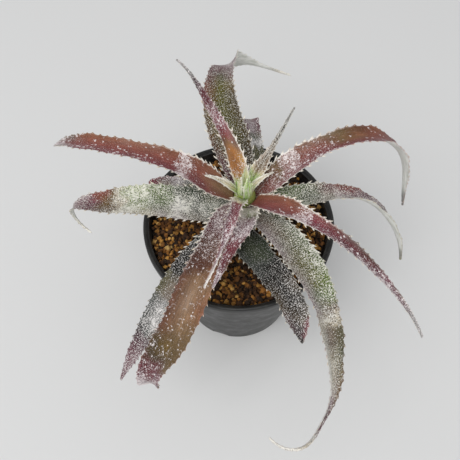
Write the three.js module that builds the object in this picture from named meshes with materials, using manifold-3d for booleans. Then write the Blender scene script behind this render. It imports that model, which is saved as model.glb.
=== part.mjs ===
// Potted orthophytum hybrid: a rosette of toothed, recurved leaves on a short stem,
// rooted in baked-clay granules in a plain black nursery pot. Millimetres, +Z up.
// Origin: centre of the pot's underside. +X right and +Y away from the viewer.
import * as THREE from 'three';
import Module from 'manifold-3d';

// Pot
const POT_HEIGHT = 90;
const RIM_RADIUS = 52.5;
const LIP_HEIGHT = 4.6;
const LIP_WIDTH = 2.1;
const FOOT_RADIUS = 34.6;
const WALL = 1.32;
const FLOOR_TOP = 4.4;
const FOOT_INNER_RADIUS = 31.2;
const FOOT_EDGE = 0.3;
const CHANNEL_HEIGHT = 2.4;
const CHANNEL_SLANT = 1;
const HUB_RADIUS = 13;
const FLOOR_FILLET = 1.6;
const POT_SIDES = 48;
const DRAIN_HOLES = 8;
const DRAIN_HOLE_RADIUS = 2.6;
const DRAIN_CIRCLE_RADIUS = 22.5;
const NOTCHES = 4;
const NOTCH_AZIMUTH = 252;
const NOTCH_HALF_WIDTH = 5.4;
const NOTCH_HEIGHT = 2.2;

// Soil
const SOIL_TOP = 82;
const SOIL_MOUND = 1.8;
const SOIL_GAP = 0.42;
const SOIL_FIRST_RING = 2;
const SOIL_LAST_RING = 17;
const GRANULE_HEIGHT = 1.5;
const GRANULE_SINK = 0.35;
const GRANULE_JITTER = 0.55;

// Stem
const STEM_X = 2.8;
const STEM_RADIUS = 5.6;
const STEM_RING_DEPTH = 0.3;
const STEM_BOTTOM = 62;
const STEM_RINGS = 13;
const CROWN_START = 115.5;
const CROWN_STEPS = 5;
const STEM_TOP = 122.4;
const STEM_SIDES = 20;
const STEM_HOLE_RADIUS = 6.3;
const STEM_HOLE_FLOOR = STEM_BOTTOM - 0.35;

// Leaves
const LEAF_START_RADIUS = 6;
const TOOTH_PITCH = 4.4;
const TOOTH_HEIGHT = 1.3;
const TOOTH_HEIGHT_AT_TIP = 0.7;
const TOOTH_LEAN = 0.66;
const TOOTH_WEAR = 0.4;
const FULL_TOOTH_WIDTH = 6;
const FIRST_TOOTH_AT = 7;
const BLADE_MID_THICKNESS = 1.25;
const BLADE_EDGE_THICKNESS = 0.75;
const BLADE_THINNING = 0.3;
const INNER_COLUMNS = [-0.5, 0, 0.5];
const WRAP_FROM = 8;
const WRAP_TO = 26;
const WRAP_STEEPEST = 75;
const TEAR_SPLIT = 0.5;
const CHANNEL_ROUNDNESS = 0.6;
const CHANNEL_CENTRE = 0.5;
const CURVE_STEPS = 120;

// One entry per leaf, named by where it stands. Angles in degrees, sizes in millimetres:
// azimuth of the base, height of the base, length along the midrib, then at equal stations
// from base to tip the slope above level, the turn of the heading, the roll about the
// midrib and the full width. fold is the half angle of the channel, start is the distance
// of the base from the stem's axis where the crown narrows, and tear is the depth of the
// notch in a torn end.
const LEAVES = [
  {
    name: 'leaf_front_dark', colour: 0x55605a, azimuth: 277, height: 90, length: 73,
    slopes: [15, 17, 10, -5, -25, -44], bends: [0, 16, 27, 23, 14, 0],
    rolls: [0, 0], widths: [9, 16.7, 15.4, 15.5, 13.9, 11.8, 1.5], fold: 16,
  },
  {
    name: 'leaf_left_old', colour: 0x77706f, azimuth: 161, height: 97, length: 50,
    slopes: [28, 21, 12, 3, -9, -17], bends: [0, 0],
    rolls: [0, 0], widths: [9, 11, 12, 12, 12, 8.7, 3], fold: 16,
  },
  {
    name: 'leaf_front_grey', colour: 0x6f6a5e, azimuth: 232, height: 99.5, length: 112,
    slopes: [22, 6, -12, -31, -43, -54], bends: [0, 0, -1, 2, -3, -2],
    rolls: [0, 0], widths: [9, 15, 16.2, 13.9, 11.5, 7.2, 1], fold: 18,
  },
  {
    name: 'leaf_back_old', colour: 0x7d7c74, azimuth: 71, height: 101.5, length: 52,
    slopes: [23, 15, 7, 2, 0, -4], bends: [0, 1, 13, 26, 27, 26],
    rolls: [0, 0], widths: [8, 9.5, 8.9, 7.9, 7.5, 8.6, 9], fold: 18, tear: 3.6,
  },
  {
    name: 'leaf_left_green', colour: 0x8d9480, azimuth: 184, height: 103.5, length: 118,
    slopes: [14, 14, 7.5, -8, -22, -85, -142], bends: [0, -2, -5.5, -4.5, -16, -26, -28],
    rolls: [0, 0], widths: [9, 19.3, 20.6, 19.4, 16.3, 11.8, 6, 1.8, 1], fold: 18,
  },
  {
    name: 'leaf_right_green', colour: 0x7f8474, azimuth: 0, height: 105.5, length: 114,
    slopes: [36, 18, -2, -38, -62, -78], bends: [0, -3, 1, -21, -31, -42],
    rolls: [0, 0, 25, 41, 44, 45], widths: [9, 13.3, 14.4, 12.1, 9.6, 6, 1], fold: 20,
  },
  {
    name: 'leaf_right_long', colour: 0x858570, azimuth: 308, height: 107.5, length: 170,
    slopes: [35, 11, -13, -31, -59, -30],
    bends: [0, -4, -8, -12, -22, -31, -37, -66, -77, -140, -183],
    rolls: [0, 1, 23, 48, 48, 40],
    widths: [9, 13.6, 16.3, 17.3, 14.3, 14.1, 10.4, 2.4, 1.9, 1.4, 1], fold: 20,
  },
  {
    name: 'leaf_back_green', colour: 0x6f6d45, azimuth: 99, height: 109.5, length: 145,
    slopes: [37, 18, 2, -27, -37, -16], bends: [0, 10, -7, -28, -75, -109],
    rolls: [0, 5, 8, 5, 2, 8, 26, 88, 92, 92, 90],
    widths: [9, 20.3, 19.1, 14.6, 12, 3.2, 1], fold: 18,
  },
  {
    name: 'leaf_front_brown', colour: 0x7a5a3f, azimuth: 229, height: 111, length: 121,
    slopes: [41, 24, 11, 1, -18, -41, -44, -50, -111],
    bends: [0, 22, 25, 19, 18, 9, -7, 2, 37],
    rolls: [0, 0], widths: [9, 13.1, 14.7, 15.4, 16.5, 16.6, 17, 13, 10.4], fold: 16,
  },
  {
    name: 'leaf_upper_red', colour: 0x7c4a41, azimuth: 20, height: 112, length: 144,
    slopes: [55, 36, 3, -47, -77, -76], bends: [0, -1, -6, -14, -40, -51],
    rolls: [0, 3, 1, 24, 38, 40], widths: [9, 15.6, 11.1, 11.6, 9, 5.6, 1], fold: 20,
  },
  {
    name: 'leaf_front_red', colour: 0x8a4a47, azimuth: 277, height: 113.5, length: 61,
    slopes: [51, 42, 24, 2, -9, -15], bends: [0, -6, -26, -33, -31, -35],
    rolls: [0, 0], widths: [8, 9.5, 9.3, 8.5, 5.6, 3.8, 1], fold: 20,
  },
  {
    name: 'leaf_left_red', colour: 0x85503f, azimuth: 175, height: 115, length: 109,
    slopes: [43, 38, 15, -3, -21, -47], bends: [0, -7, -5, -10, -17, -18],
    rolls: [0, 0], widths: [9, 16.3, 13.3, 10.5, 10.1, 9.2, 1], fold: 20,
  },
  {
    name: 'leaf_right_red', colour: 0x80473f, azimuth: 321, height: 116.6, length: 119,
    slopes: [45, 23, 1, -19, -37, -55], bends: [0, -1, 0, -3, -2, -5],
    rolls: [0, 0], widths: [8.5, 12.3, 8.3, 6.1, 4.2, 2.5, 1], fold: 20,
  },
  {
    name: 'leaf_back_orange', colour: 0x8a5a3c, azimuth: 109, height: 119.7, length: 79,
    slopes: [61, 41, 24, 13, 1, -13], bends: [0, 7, 13, 9, 11, 17],
    rolls: [0, 0], widths: [8, 9.1, 6.9, 5.5, 3.4, 1.8, 1], fold: 22, start: 4.8,
  },
  {
    name: 'leaf_back_young', colour: 0x86966a, azimuth: 61, height: 117.9, length: 45,
    slopes: [45, 44, 40, 36, 30, 24], bends: [0, -16, -13, -7, -5, -3],
    rolls: [0, 0], widths: [6, 8.5, 5.9, 3.3, 2.4, 1.7, 1], fold: 24, start: 5.4,
  },
  {
    name: 'leaf_front_narrow', colour: 0x8d5456, azimuth: 253, height: 119.5, length: 63,
    slopes: [60, 42, 14, -4, -15, -21], bends: [0, 3, 4, -3, -4, -15],
    rolls: [0, 0], widths: [5.5, 7.1, 5.8, 5.3, 2.7, 1.6, 1], fold: 24, start: 4.8,
  },
  {
    name: 'leaf_inner_left', colour: 0x9a8f6e, azimuth: 185, height: 120.4, length: 21,
    slopes: [60, 56, 50, 40, 28, 12], bends: [0, -2, -4, -6, -8, -8],
    rolls: [0, 0], widths: [4, 5, 4.7, 3.9, 2.8, 1.7, 1], fold: 24, start: 4.2,
  },
  {
    name: 'leaf_inner_right', colour: 0x97a06f, azimuth: 22, height: 120.9, length: 14,
    slopes: [62, 52, 40, 28, 16, 6], bends: [0, 0],
    rolls: [0, 0], widths: [3.6, 4, 3.4, 2.7, 1.9, 1.2, 1], fold: 24, start: 3.7,
  },
  {
    name: 'leaf_core_left', colour: 0xa9b86a, azimuth: 214, height: 121.5, length: 12,
    slopes: [90, 93, 95, 96], bends: [0, 0],
    rolls: [0, 0], widths: [4, 4.2, 3.4, 2.2, 1], fold: 24, start: 3.1,
  },
  {
    name: 'leaf_core_right', colour: 0xa9b86a, azimuth: 288, height: 121.3, length: 13,
    slopes: [92, 95, 98, 99], bends: [0, 0],
    rolls: [0, 0], widths: [4.8, 5.4, 4.2, 2.5, 1], fold: 24, start: 4,
  },
  {
    name: 'leaf_centre', colour: 0xb4c46c, azimuth: 85, height: 122.8, length: 12,
    slopes: [68, 72, 76, 78], bends: [0, 0],
    rolls: [0, 0], widths: [2.6, 4.2, 3.4, 2, 1], fold: 24, start: 0.9,
  },
];

const MATERIALS = {
  pot: { colour: 0x3d3e3d, roughness: 0.62 },
  soil: { colour: 0x4a3218, roughness: 0.95 },
  stem: { colour: 0x6b6a4c, roughness: 0.8 },
  leafRoughness: 0.55,
};

const radians = (degrees) => (degrees * Math.PI) / 180;
const clamp01 = (value) => Math.min(1, Math.max(0, value));
const smoothstep = (from, to, value) => {
  const x = clamp01((value - from) / (to - from));
  return x * x * (3 - 2 * x);
};

// Even, repeatable pseudo-random number between 0 and 1 for a whole-number pair
function noise(a, b) {
  const wave = Math.sin(a * 127.1 + b * 311.7) * 43758.5453;
  return wave - Math.floor(wave);
}

// Value of a list of equally spaced stations at t between 0 and 1, along a smooth curve
function station(values, t) {
  const last = values.length - 1;
  const x = clamp01(t) * last;
  const i = Math.min(Math.floor(x), last - 1);
  const f = x - i;
  const p1 = values[i];
  const p2 = values[i + 1];
  const p0 = i > 0 ? values[i - 1] : 2 * p1 - p2;
  const p3 = i + 2 <= last ? values[i + 2] : 2 * p2 - p1;
  const a = 2 * p1;
  const b = p2 - p0;
  const c = 2 * p0 - 5 * p1 + 4 * p2 - p3;
  const d = 3 * p1 - p0 - 3 * p2 + p3;
  return 0.5 * (a + f * (b + f * (c + f * d)));
}

// Closed mesh builder with shared vertices
class Shell {
  constructor() {
    this.points = [];
    this.index = [];
  }

  point(x, y, z) {
    this.points.push(x, y, z);
    return this.points.length / 3 - 1;
  }

  triangle(a, b, c) {
    this.index.push(a, b, c);
  }

  quad(a, b, c, d) {
    this.triangle(a, b, c);
    this.triangle(a, c, d);
  }

  geometry() {
    const geometry = new THREE.BufferGeometry();
    geometry.setAttribute('position', new THREE.Float32BufferAttribute(this.points, 3));
    geometry.setIndex(this.index);
    geometry.computeVertexNormals();
    return geometry;
  }
}

// Points, headings and slopes along the midrib, by adding up short straight steps
function midrib(leaf) {
  const start = radians(leaf.azimuth);
  const radius = leaf.start ?? LEAF_START_RADIUS;
  const position = new THREE.Vector3(
    STEM_X + radius * Math.cos(start), radius * Math.sin(start), leaf.height);
  const points = [position.clone()];
  const step = leaf.length / CURVE_STEPS;
  for (let i = 0; i < CURVE_STEPS; i += 1) {
    const t = (i + 0.5) / CURVE_STEPS;
    const slope = radians(station(leaf.slopes, t));
    const heading = radians(leaf.azimuth + station(leaf.bends, t));
    position.x += step * Math.cos(slope) * Math.cos(heading);
    position.y += step * Math.cos(slope) * Math.sin(heading);
    position.z += step * Math.sin(slope);
    points.push(position.clone());
  }
  return points;
}

// Frame of the blade at t: midrib point, unit sideways and upward directions, slope
function bladeFrame(leaf, points, t) {
  const x = clamp01(t) * CURVE_STEPS;
  const i = Math.min(Math.floor(x), CURVE_STEPS - 1);
  const origin = points[i].clone().lerp(points[i + 1], x - i);
  const slope = radians(station(leaf.slopes, t));
  const heading = radians(leaf.azimuth + station(leaf.bends, t));
  const roll = radians(station(leaf.rolls, t));
  const level = new THREE.Vector3(-Math.sin(heading), Math.cos(heading), 0);
  const rise = new THREE.Vector3(
    -Math.sin(slope) * Math.cos(heading), -Math.sin(slope) * Math.sin(heading), Math.cos(slope));
  const side = level.clone().multiplyScalar(Math.cos(roll));
  side.addScaledVector(rise, -Math.sin(roll));
  const up = rise.clone().multiplyScalar(Math.cos(roll));
  up.addScaledVector(level, Math.sin(roll));
  const ahead = new THREE.Vector3().crossVectors(side, up);
  return { origin, side, up, ahead, slope, along: t * leaf.length };
}

// Point of the blade's upper face: across runs from -1 at the right margin to +1 at the
// left, reach is a distance beyond the margin. Near the stem the blade follows a cone
// around it, further out it is a shallow channel.
function bladePoint(leaf, frame, halfWidth, across, reach) {
  const distance = halfWidth * Math.abs(across) + reach;
  const sign = Math.sign(across);
  const fold = radians(leaf.fold);
  const free = smoothstep(WRAP_FROM, WRAP_TO, frame.along);
  const flat = distance * (1 - free) + distance * Math.cos(fold) * free;
  const dish = distance * Math.abs(across) ** CHANNEL_ROUNDNESS - CHANNEL_CENTRE * halfWidth;
  const channel = dish * Math.sin(fold) * free;
  const radius = Math.hypot(frame.origin.x - STEM_X, frame.origin.y);
  const cone = Math.tan(Math.min(frame.slope, radians(WRAP_STEEPEST)));
  const wrap = cone * (Math.hypot(radius, flat) - radius) * (1 - free);
  const point = frame.origin.clone();
  point.addScaledVector(frame.side, sign * flat);
  point.addScaledVector(frame.up, channel);
  point.z += wrap;
  return point;
}

// A toothed blade: three inner columns of points and, on each margin, a valley and a
// forward-leaning tooth per pitch; the lower face repeats the upper one
function leafGeometry(leaf) {
  const shell = new Shell();
  const points = midrib(leaf);
  const teeth = Math.max(4, Math.round(leaf.length / TOOTH_PITCH));
  const addPair = (t, across, reach) => {
    const frame = bladeFrame(leaf, points, t);
    const halfWidth = Math.max(station(leaf.widths, t), 1) / 2;
    const top = bladePoint(leaf, frame, halfWidth, across, reach);
    const edge = Math.abs(across);
    if (leaf.tear && t === 1) {
      top.addScaledVector(frame.ahead, leaf.tear * (edge - TEAR_SPLIT));
    }
    const taper = 1 - BLADE_THINNING * t;
    const thick = BLADE_EDGE_THICKNESS * edge + BLADE_MID_THICKNESS * taper * (1 - edge);
    const bottom = top.clone().addScaledVector(frame.up, -Math.max(thick, BLADE_EDGE_THICKNESS));
    return [shell.point(...top), shell.point(...bottom)];
  };
  const toothReach = (t) => {
    const height = TOOTH_HEIGHT + (TOOTH_HEIGHT_AT_TIP - TOOTH_HEIGHT) * t;
    const fromWidth = clamp01(station(leaf.widths, t) / FULL_TOOTH_WIDTH);
    const fromBase = smoothstep(0, FIRST_TOOTH_AT, t * leaf.length);
    const draw = noise(Math.round(t * leaf.length), leaf.azimuth);
    const wear = 1 + TOOTH_WEAR * (draw - 0.5);
    return height * fromWidth * fromBase * wear;
  };
  const inner = [];
  const valleys = { '-1': [], 1: [] };
  const tips = { '-1': [], 1: [] };
  for (let k = 0; k <= teeth; k += 1) {
    const t = k / teeth;
    inner.push(INNER_COLUMNS.map((across) => addPair(t, across, 0)));
    for (const side of [-1, 1]) {
      valleys[side].push(addPair(t, side, 0));
      if (k < teeth) {
        const tipT = (k + TOOTH_LEAN) / teeth;
        tips[side].push(addPair(tipT, side, toothReach(tipT)));
      }
    }
  }
  const both = (a, b, c) => {
    shell.triangle(a[0], b[0], c[0]);
    shell.triangle(a[1], c[1], b[1]);
  };
  const wall = (a, b) => shell.quad(a[0], a[1], b[1], b[0]);
  for (let k = 0; k < teeth; k += 1) {
    for (let c = 0; c + 1 < INNER_COLUMNS.length; c += 1) {
      both(inner[k][c], inner[k + 1][c], inner[k + 1][c + 1]);
      both(inner[k][c], inner[k + 1][c + 1], inner[k][c + 1]);
    }
    const right = inner[k][0];
    const rightNext = inner[k + 1][0];
    both(right, valleys['-1'][k], tips['-1'][k]);
    both(right, tips['-1'][k], rightNext);
    both(rightNext, tips['-1'][k], valleys['-1'][k + 1]);
    wall(valleys['-1'][k], tips['-1'][k]);
    wall(tips['-1'][k], valleys['-1'][k + 1]);
    const left = inner[k][INNER_COLUMNS.length - 1];
    const leftNext = inner[k + 1][INNER_COLUMNS.length - 1];
    both(left, tips[1][k], valleys[1][k]);
    both(left, leftNext, tips[1][k]);
    both(leftNext, valleys[1][k + 1], tips[1][k]);
    wall(tips[1][k], valleys[1][k]);
    wall(valleys[1][k + 1], tips[1][k]);
  }
  const rows = [0, teeth].map((k) => [valleys['-1'][k], ...inner[k], valleys[1][k]]);
  for (let c = 0; c + 1 < rows[0].length; c += 1) {
    wall(rows[0][c + 1], rows[0][c]);
    wall(rows[1][c], rows[1][c + 1]);
  }
  return shell.geometry();
}

// Outer radius of the pot's wall at height z
function potRadius(z) {
  const top = RIM_RADIUS - LIP_WIDTH;
  return FOOT_RADIUS + ((top - FOOT_RADIUS) * z) / (POT_HEIGHT - LIP_HEIGHT);
}

// Solid for cutting, from a closed geometry
function toSolid(wasm, geometry) {
  const clean = geometry.clone();
  clean.deleteAttribute('normal');
  clean.deleteAttribute('uv');
  const merged = mergeByPosition(clean);
  return new wasm.Manifold(new wasm.Mesh({
    numProp: 3,
    vertProperties: Float32Array.from(merged.points),
    triVerts: Uint32Array.from(merged.index),
  }));
}

// Vertices at the same place joined into one, flat triangles dropped
function mergeByPosition(geometry) {
  const source = geometry.index ? geometry.toNonIndexed() : geometry;
  const position = source.getAttribute('position');
  const seen = new Map();
  const points = [];
  const index = [];
  for (let i = 0; i < position.count; i += 3) {
    const corner = [0, 1, 2].map((j) => {
      const xyz = [position.getX(i + j), position.getY(i + j), position.getZ(i + j)];
      const key = xyz.map((v) => Math.round(v * 1e4)).join(',');
      if (!seen.has(key)) {
        seen.set(key, points.length / 3);
        points.push(...xyz);
      }
      return seen.get(key);
    });
    if (corner[0] !== corner[1] && corner[1] !== corner[2] && corner[2] !== corner[0]) {
      index.push(...corner);
    }
  }
  return { points, index };
}

function toGeometry(solid) {
  const mesh = solid.getMesh();
  const geometry = new THREE.BufferGeometry();
  geometry.setAttribute('position', new THREE.BufferAttribute(mesh.vertProperties, 3));
  geometry.setIndex(new THREE.BufferAttribute(mesh.triVerts, 1));
  geometry.computeVertexNormals();
  return geometry;
}

// Pot: turned profile with a foot ring, a raised channel and a level hub underneath, then
// round drain holes through the channel and arched notches through the foot ring
function potGeometry(wasm) {
  const lipFoot = POT_HEIGHT - LIP_HEIGHT;
  const profile = [
    [0, 0], [HUB_RADIUS, 0], [HUB_RADIUS + CHANNEL_SLANT, CHANNEL_HEIGHT],
    [FOOT_INNER_RADIUS - CHANNEL_SLANT, CHANNEL_HEIGHT], [FOOT_INNER_RADIUS, 0],
    [FOOT_RADIUS - FOOT_EDGE, 0], [potRadius(FOOT_EDGE), FOOT_EDGE],
    [potRadius(lipFoot), lipFoot],
    [RIM_RADIUS - 0.5, lipFoot + 0.4], [RIM_RADIUS, lipFoot + 1],
    [RIM_RADIUS, POT_HEIGHT - 0.7], [RIM_RADIUS - 0.6, POT_HEIGHT - 0.1],
    [RIM_RADIUS - 1.3, POT_HEIGHT], [RIM_RADIUS - 2.1, POT_HEIGHT - 0.4],
    [RIM_RADIUS - 2.5, POT_HEIGHT - 1.2], [RIM_RADIUS - 3.2, POT_HEIGHT - 1.5],
    [potRadius(lipFoot) - WALL, lipFoot],
    [potRadius(FLOOR_TOP + FLOOR_FILLET) - WALL, FLOOR_TOP + FLOOR_FILLET],
    [potRadius(FLOOR_TOP) - WALL - FLOOR_FILLET, FLOOR_TOP], [0, FLOOR_TOP],
  ].map(([radius, z]) => new THREE.Vector2(radius, z));
  const turned = new THREE.LatheGeometry(profile, POT_SIDES);
  turned.rotateX(Math.PI / 2);
  let body = toSolid(wasm, turned);
  for (let i = 0; i < DRAIN_HOLES; i += 1) {
    const angle = (2 * Math.PI * i) / DRAIN_HOLES;
    const hole = new THREE.CylinderGeometry(DRAIN_HOLE_RADIUS, DRAIN_HOLE_RADIUS, 8, 12);
    hole.rotateX(Math.PI / 2);
    hole.translate(
      DRAIN_CIRCLE_RADIUS * Math.cos(angle), DRAIN_CIRCLE_RADIUS * Math.sin(angle), FLOOR_TOP - 1);
    body = body.subtract(toSolid(wasm, hole));
  }
  for (let i = 0; i < NOTCHES; i += 1) {
    const angle = radians(NOTCH_AZIMUTH) + (2 * Math.PI * i) / NOTCHES;
    const notch = new THREE.CylinderGeometry(NOTCH_HALF_WIDTH, NOTCH_HALF_WIDTH, 8, 16);
    notch.scale(1, 1, NOTCH_HEIGHT / NOTCH_HALF_WIDTH);
    notch.translate(0, FOOT_RADIUS - 1, 0);
    notch.rotateZ(angle - Math.PI / 2);
    body = body.subtract(toSolid(wasm, notch));
  }
  return toGeometry(body);
}

// Soil: fills the pot, with a granular top made of rings of points in which every third
// point of the triangular pattern stands up as a granule, and a plain hole for the stem
function soilGeometry() {
  const shell = new Shell();
  const topRadius = potRadius(SOIL_TOP) - WALL - SOIL_GAP;
  const bottomZ = FLOOR_TOP + SOIL_GAP;
  const rings = [];
  for (let ring = SOIL_FIRST_RING; ring <= SOIL_LAST_RING; ring += 1) {
    const out = (ring - SOIL_FIRST_RING) / (SOIL_LAST_RING - SOIL_FIRST_RING);
    const radius = STEM_HOLE_RADIUS + (topRadius - STEM_HOLE_RADIUS) * out;
    const mound = SOIL_TOP + SOIL_MOUND * (1 - out * out);
    const count = 6 * ring;
    const border = ring === SOIL_FIRST_RING || ring === SOIL_LAST_RING;
    const row = [];
    for (let i = 0; i < count; i += 1) {
      const sector = Math.floor(i / ring);
      const place = i - sector * ring;
      const raised = (ring + place + (sector % 2) * ring) % 3 === 0;
      const shift = border ? 0 : GRANULE_JITTER;
      const angle = (2 * Math.PI * i) / count;
      const r = radius + shift * (noise(ring, i) - 0.5) * 2;
      const turn = angle + (shift * (noise(i, ring + 50) - 0.5) * 2) / radius;
      const bump = raised ? 0.6 + 0.8 * noise(ring + 9, i) : 0.25 * noise(ring, i + 31);
      const z = mound + (border ? 0 : GRANULE_HEIGHT * (bump - GRANULE_SINK));
      row.push(shell.point(STEM_X * (1 - out) + r * Math.cos(turn), r * Math.sin(turn), z));
    }
    rings.push(row);
  }
  for (let r = 0; r + 1 < rings.length; r += 1) {
    stitchRings(shell, rings[r], rings[r + 1], SOIL_FIRST_RING + r);
  }
  const edge = rings[rings.length - 1];
  const foot = edge.map((_, i) => {
    const angle = (2 * Math.PI * i) / edge.length;
    const radius = potRadius(FLOOR_TOP) - WALL - FLOOR_FILLET - SOIL_GAP;
    return shell.point(radius * Math.cos(angle), radius * Math.sin(angle), bottomZ);
  });
  const middle = shell.point(0, 0, bottomZ);
  const hole = rings[0];
  const well = hole.map((_, i) => {
    const angle = (2 * Math.PI * i) / hole.length;
    return shell.point(
      STEM_X + STEM_HOLE_RADIUS * Math.cos(angle), STEM_HOLE_RADIUS * Math.sin(angle),
      STEM_HOLE_FLOOR);
  });
  const wellMiddle = shell.point(STEM_X, 0, STEM_HOLE_FLOOR);
  for (let i = 0; i < edge.length; i += 1) {
    const j = (i + 1) % edge.length;
    shell.quad(foot[i], foot[j], edge[j], edge[i]);
    shell.triangle(middle, foot[j], foot[i]);
  }
  for (let i = 0; i < hole.length; i += 1) {
    const j = (i + 1) % hole.length;
    shell.quad(hole[i], hole[j], well[j], well[i]);
    shell.triangle(wellMiddle, well[i], well[j]);
  }
  return shell.geometry();
}

// Triangles between a ring of 6 n points and the next ring of 6 (n + 1) points
function stitchRings(shell, inner, outer, n) {
  for (let sector = 0; sector < 6; sector += 1) {
    for (let i = 0; i <= n; i += 1) {
      const a = outer[sector * (n + 1) + i];
      const b = outer[(sector * (n + 1) + i + 1) % outer.length];
      const c = inner[(sector * n + i) % inner.length];
      shell.triangle(a, b, c);
      if (i < n) {
        shell.triangle(c, b, inner[(sector * n + i + 1) % inner.length]);
      }
    }
  }
}

// Stem: turned, with slight rings where leaves leave it and a domed growing tip
function stemGeometry() {
  const profile = [
    new THREE.Vector2(0, STEM_BOTTOM), new THREE.Vector2(STEM_RADIUS - 1, STEM_BOTTOM)];
  const firstRing = STEM_BOTTOM + 1.2;
  for (let i = 0; i <= STEM_RINGS; i += 1) {
    const z = firstRing + ((CROWN_START - firstRing) * i) / STEM_RINGS;
    profile.push(new THREE.Vector2(STEM_RADIUS - (i % 2 ? STEM_RING_DEPTH : 0), z));
  }
  for (let i = 1; i <= CROWN_STEPS; i += 1) {
    const angle = (i / CROWN_STEPS) * (Math.PI / 2);
    const radius = i < CROWN_STEPS ? (STEM_RADIUS - STEM_RING_DEPTH) * Math.cos(angle) : 0;
    const z = CROWN_START + (STEM_TOP - CROWN_START) * Math.sin(angle);
    profile.push(new THREE.Vector2(radius, z));
  }
  const geometry = new THREE.LatheGeometry(profile, STEM_SIDES);
  geometry.rotateX(Math.PI / 2);
  geometry.translate(STEM_X, 0, 0);
  return geometry;
}

function addMesh(group, name, geometry, colour, roughness) {
  const material = new THREE.MeshStandardMaterial({ color: colour, roughness, metalness: 0 });
  const mesh = new THREE.Mesh(geometry, material);
  mesh.name = name;
  group.add(mesh);
}

const wasm = await Module();
wasm.setup();

const plant = new THREE.Group();
plant.name = 'potted_orthophytum';
addMesh(plant, 'pot', potGeometry(wasm), MATERIALS.pot.colour, MATERIALS.pot.roughness);
addMesh(plant, 'soil', soilGeometry(), MATERIALS.soil.colour, MATERIALS.soil.roughness);
addMesh(plant, 'stem', stemGeometry(), MATERIALS.stem.colour, MATERIALS.stem.roughness);
for (const leaf of LEAVES) {
  addMesh(plant, leaf.name, leafGeometry(leaf), leaf.colour, MATERIALS.leafRoughness);
}

export default plant;
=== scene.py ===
"""Looks of a potted orthophytum hybrid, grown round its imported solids.

A rosette of toothed, recurved leaves on a short stem stands in baked-clay granules in a black
nursery pot. Each piece stands where its solid stands and keeps its form, with finer relief.
Lengths in this file are millimetres until a mesh is stored, which is in metres.
"""
import logging
from dataclasses import dataclass, field
from enum import Enum
from functools import partial

import bpy
import numpy as np
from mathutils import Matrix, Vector


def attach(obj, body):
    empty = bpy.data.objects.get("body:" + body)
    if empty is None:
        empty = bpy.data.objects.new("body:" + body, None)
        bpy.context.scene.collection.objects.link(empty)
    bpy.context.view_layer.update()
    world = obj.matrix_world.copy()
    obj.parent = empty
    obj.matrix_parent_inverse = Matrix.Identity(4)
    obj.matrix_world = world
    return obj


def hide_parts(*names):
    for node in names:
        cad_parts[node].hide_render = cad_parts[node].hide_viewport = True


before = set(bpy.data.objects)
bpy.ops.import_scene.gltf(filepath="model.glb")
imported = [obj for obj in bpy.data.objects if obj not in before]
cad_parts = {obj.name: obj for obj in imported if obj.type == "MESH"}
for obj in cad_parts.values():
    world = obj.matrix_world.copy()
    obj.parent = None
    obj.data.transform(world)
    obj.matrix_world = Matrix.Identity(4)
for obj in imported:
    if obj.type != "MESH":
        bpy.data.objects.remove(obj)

LOG = logging.getLogger("orthophytum")
MM = 0.001

STEM_X = 2.8
POT_HEIGHT = 90.0
RIM_RADIUS = 52.5
LIP_HEIGHT = 4.6
LIP_WIDTH = 2.1
FOOT_RADIUS = 34.6
WALL = 1.32
SOIL_TOP = 82.0
SOIL_MOUND = 1.8

BLENDED = {"data_type": "RGBA"}
MULTIPLIED = {"data_type": "RGBA", "blend_type": "MULTIPLY"}


class Tone(Enum):
    """Colours of the plant as sRGB hex values."""

    CRIMSON = 0x7A3540
    WINE = 0x5E2A30
    BRICK = 0x82473F
    RUST = 0x86573F
    ORANGE = 0xA8703C
    AMBER = 0xBD9348
    COCOA = 0x603C2C
    SEAL = 0x4C2C22
    UMBER = 0x4A3B26
    OLIVE_BROWN = 0x6C5639
    BRONZE = 0x665025
    TAN = 0x8A6C50
    OLIVE = 0x5B583D
    MOSS = 0x5E5A24
    GREEN = 0x55643A
    LEAF_GREEN = 0x6E8044
    PALE_GREEN = 0xA9B28A
    DARK_GREEN = 0x2A3626
    GREY_GREEN = 0x515945
    SLATE = 0x4C504C
    CHARCOAL = 0x211F1C
    TAUPE = 0x786A5E
    MAUVE = 0x6C434C
    PURPLE = 0x4B3037
    LILAC = 0x9A868C
    # The next three tones are lighter than the young leaves' own colours: painted glow of light
    # passing through the thin leaves, which lie in shade at the rosette's centre.
    YELLOW_GREEN_WITH_GLOW = 0xAFD078
    FRESH_WITH_GLOW = 0xCFE39A
    STRAW_WITH_GLOW = 0xDCCB98
    CREAM = 0xF8F4EA
    PINK = 0xC09A92
    BEIGE = 0xB9AE99
    GREY = 0x8A8886
    UNDERSIDE = 0xF1F1EB
    UNDER_VEIN = 0xBCBFB2
    SCALE_GREY = 0xF2EEEB
    SCALE_CREAM = 0xF6F3EA
    SCALE_PINK = 0xF8F0EF
    THORN = 0xE8DCC4


T = Tone


def linear(value: int) -> tuple[float, float, float, float]:
    """Turns an sRGB hex value to linear colour: each channel c is ((c + 0.055) / 1.055) to the
    power 2.4 above 0.04045, and c / 12.92 below.

    Args:
        value: the colour as 0xRRGGBB.

    Returns:
        Linear red, green and blue, and 1 for alpha.
    """
    channel = np.array([(value >> 16) & 255, (value >> 8) & 255, value & 255]) / 255
    curved = np.where(channel > 0.04045, ((channel + 0.055) / 1.055) ** 2.4, channel / 12.92)
    return (float(curved[0]), float(curved[1]), float(curved[2]), 1.0)


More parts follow.
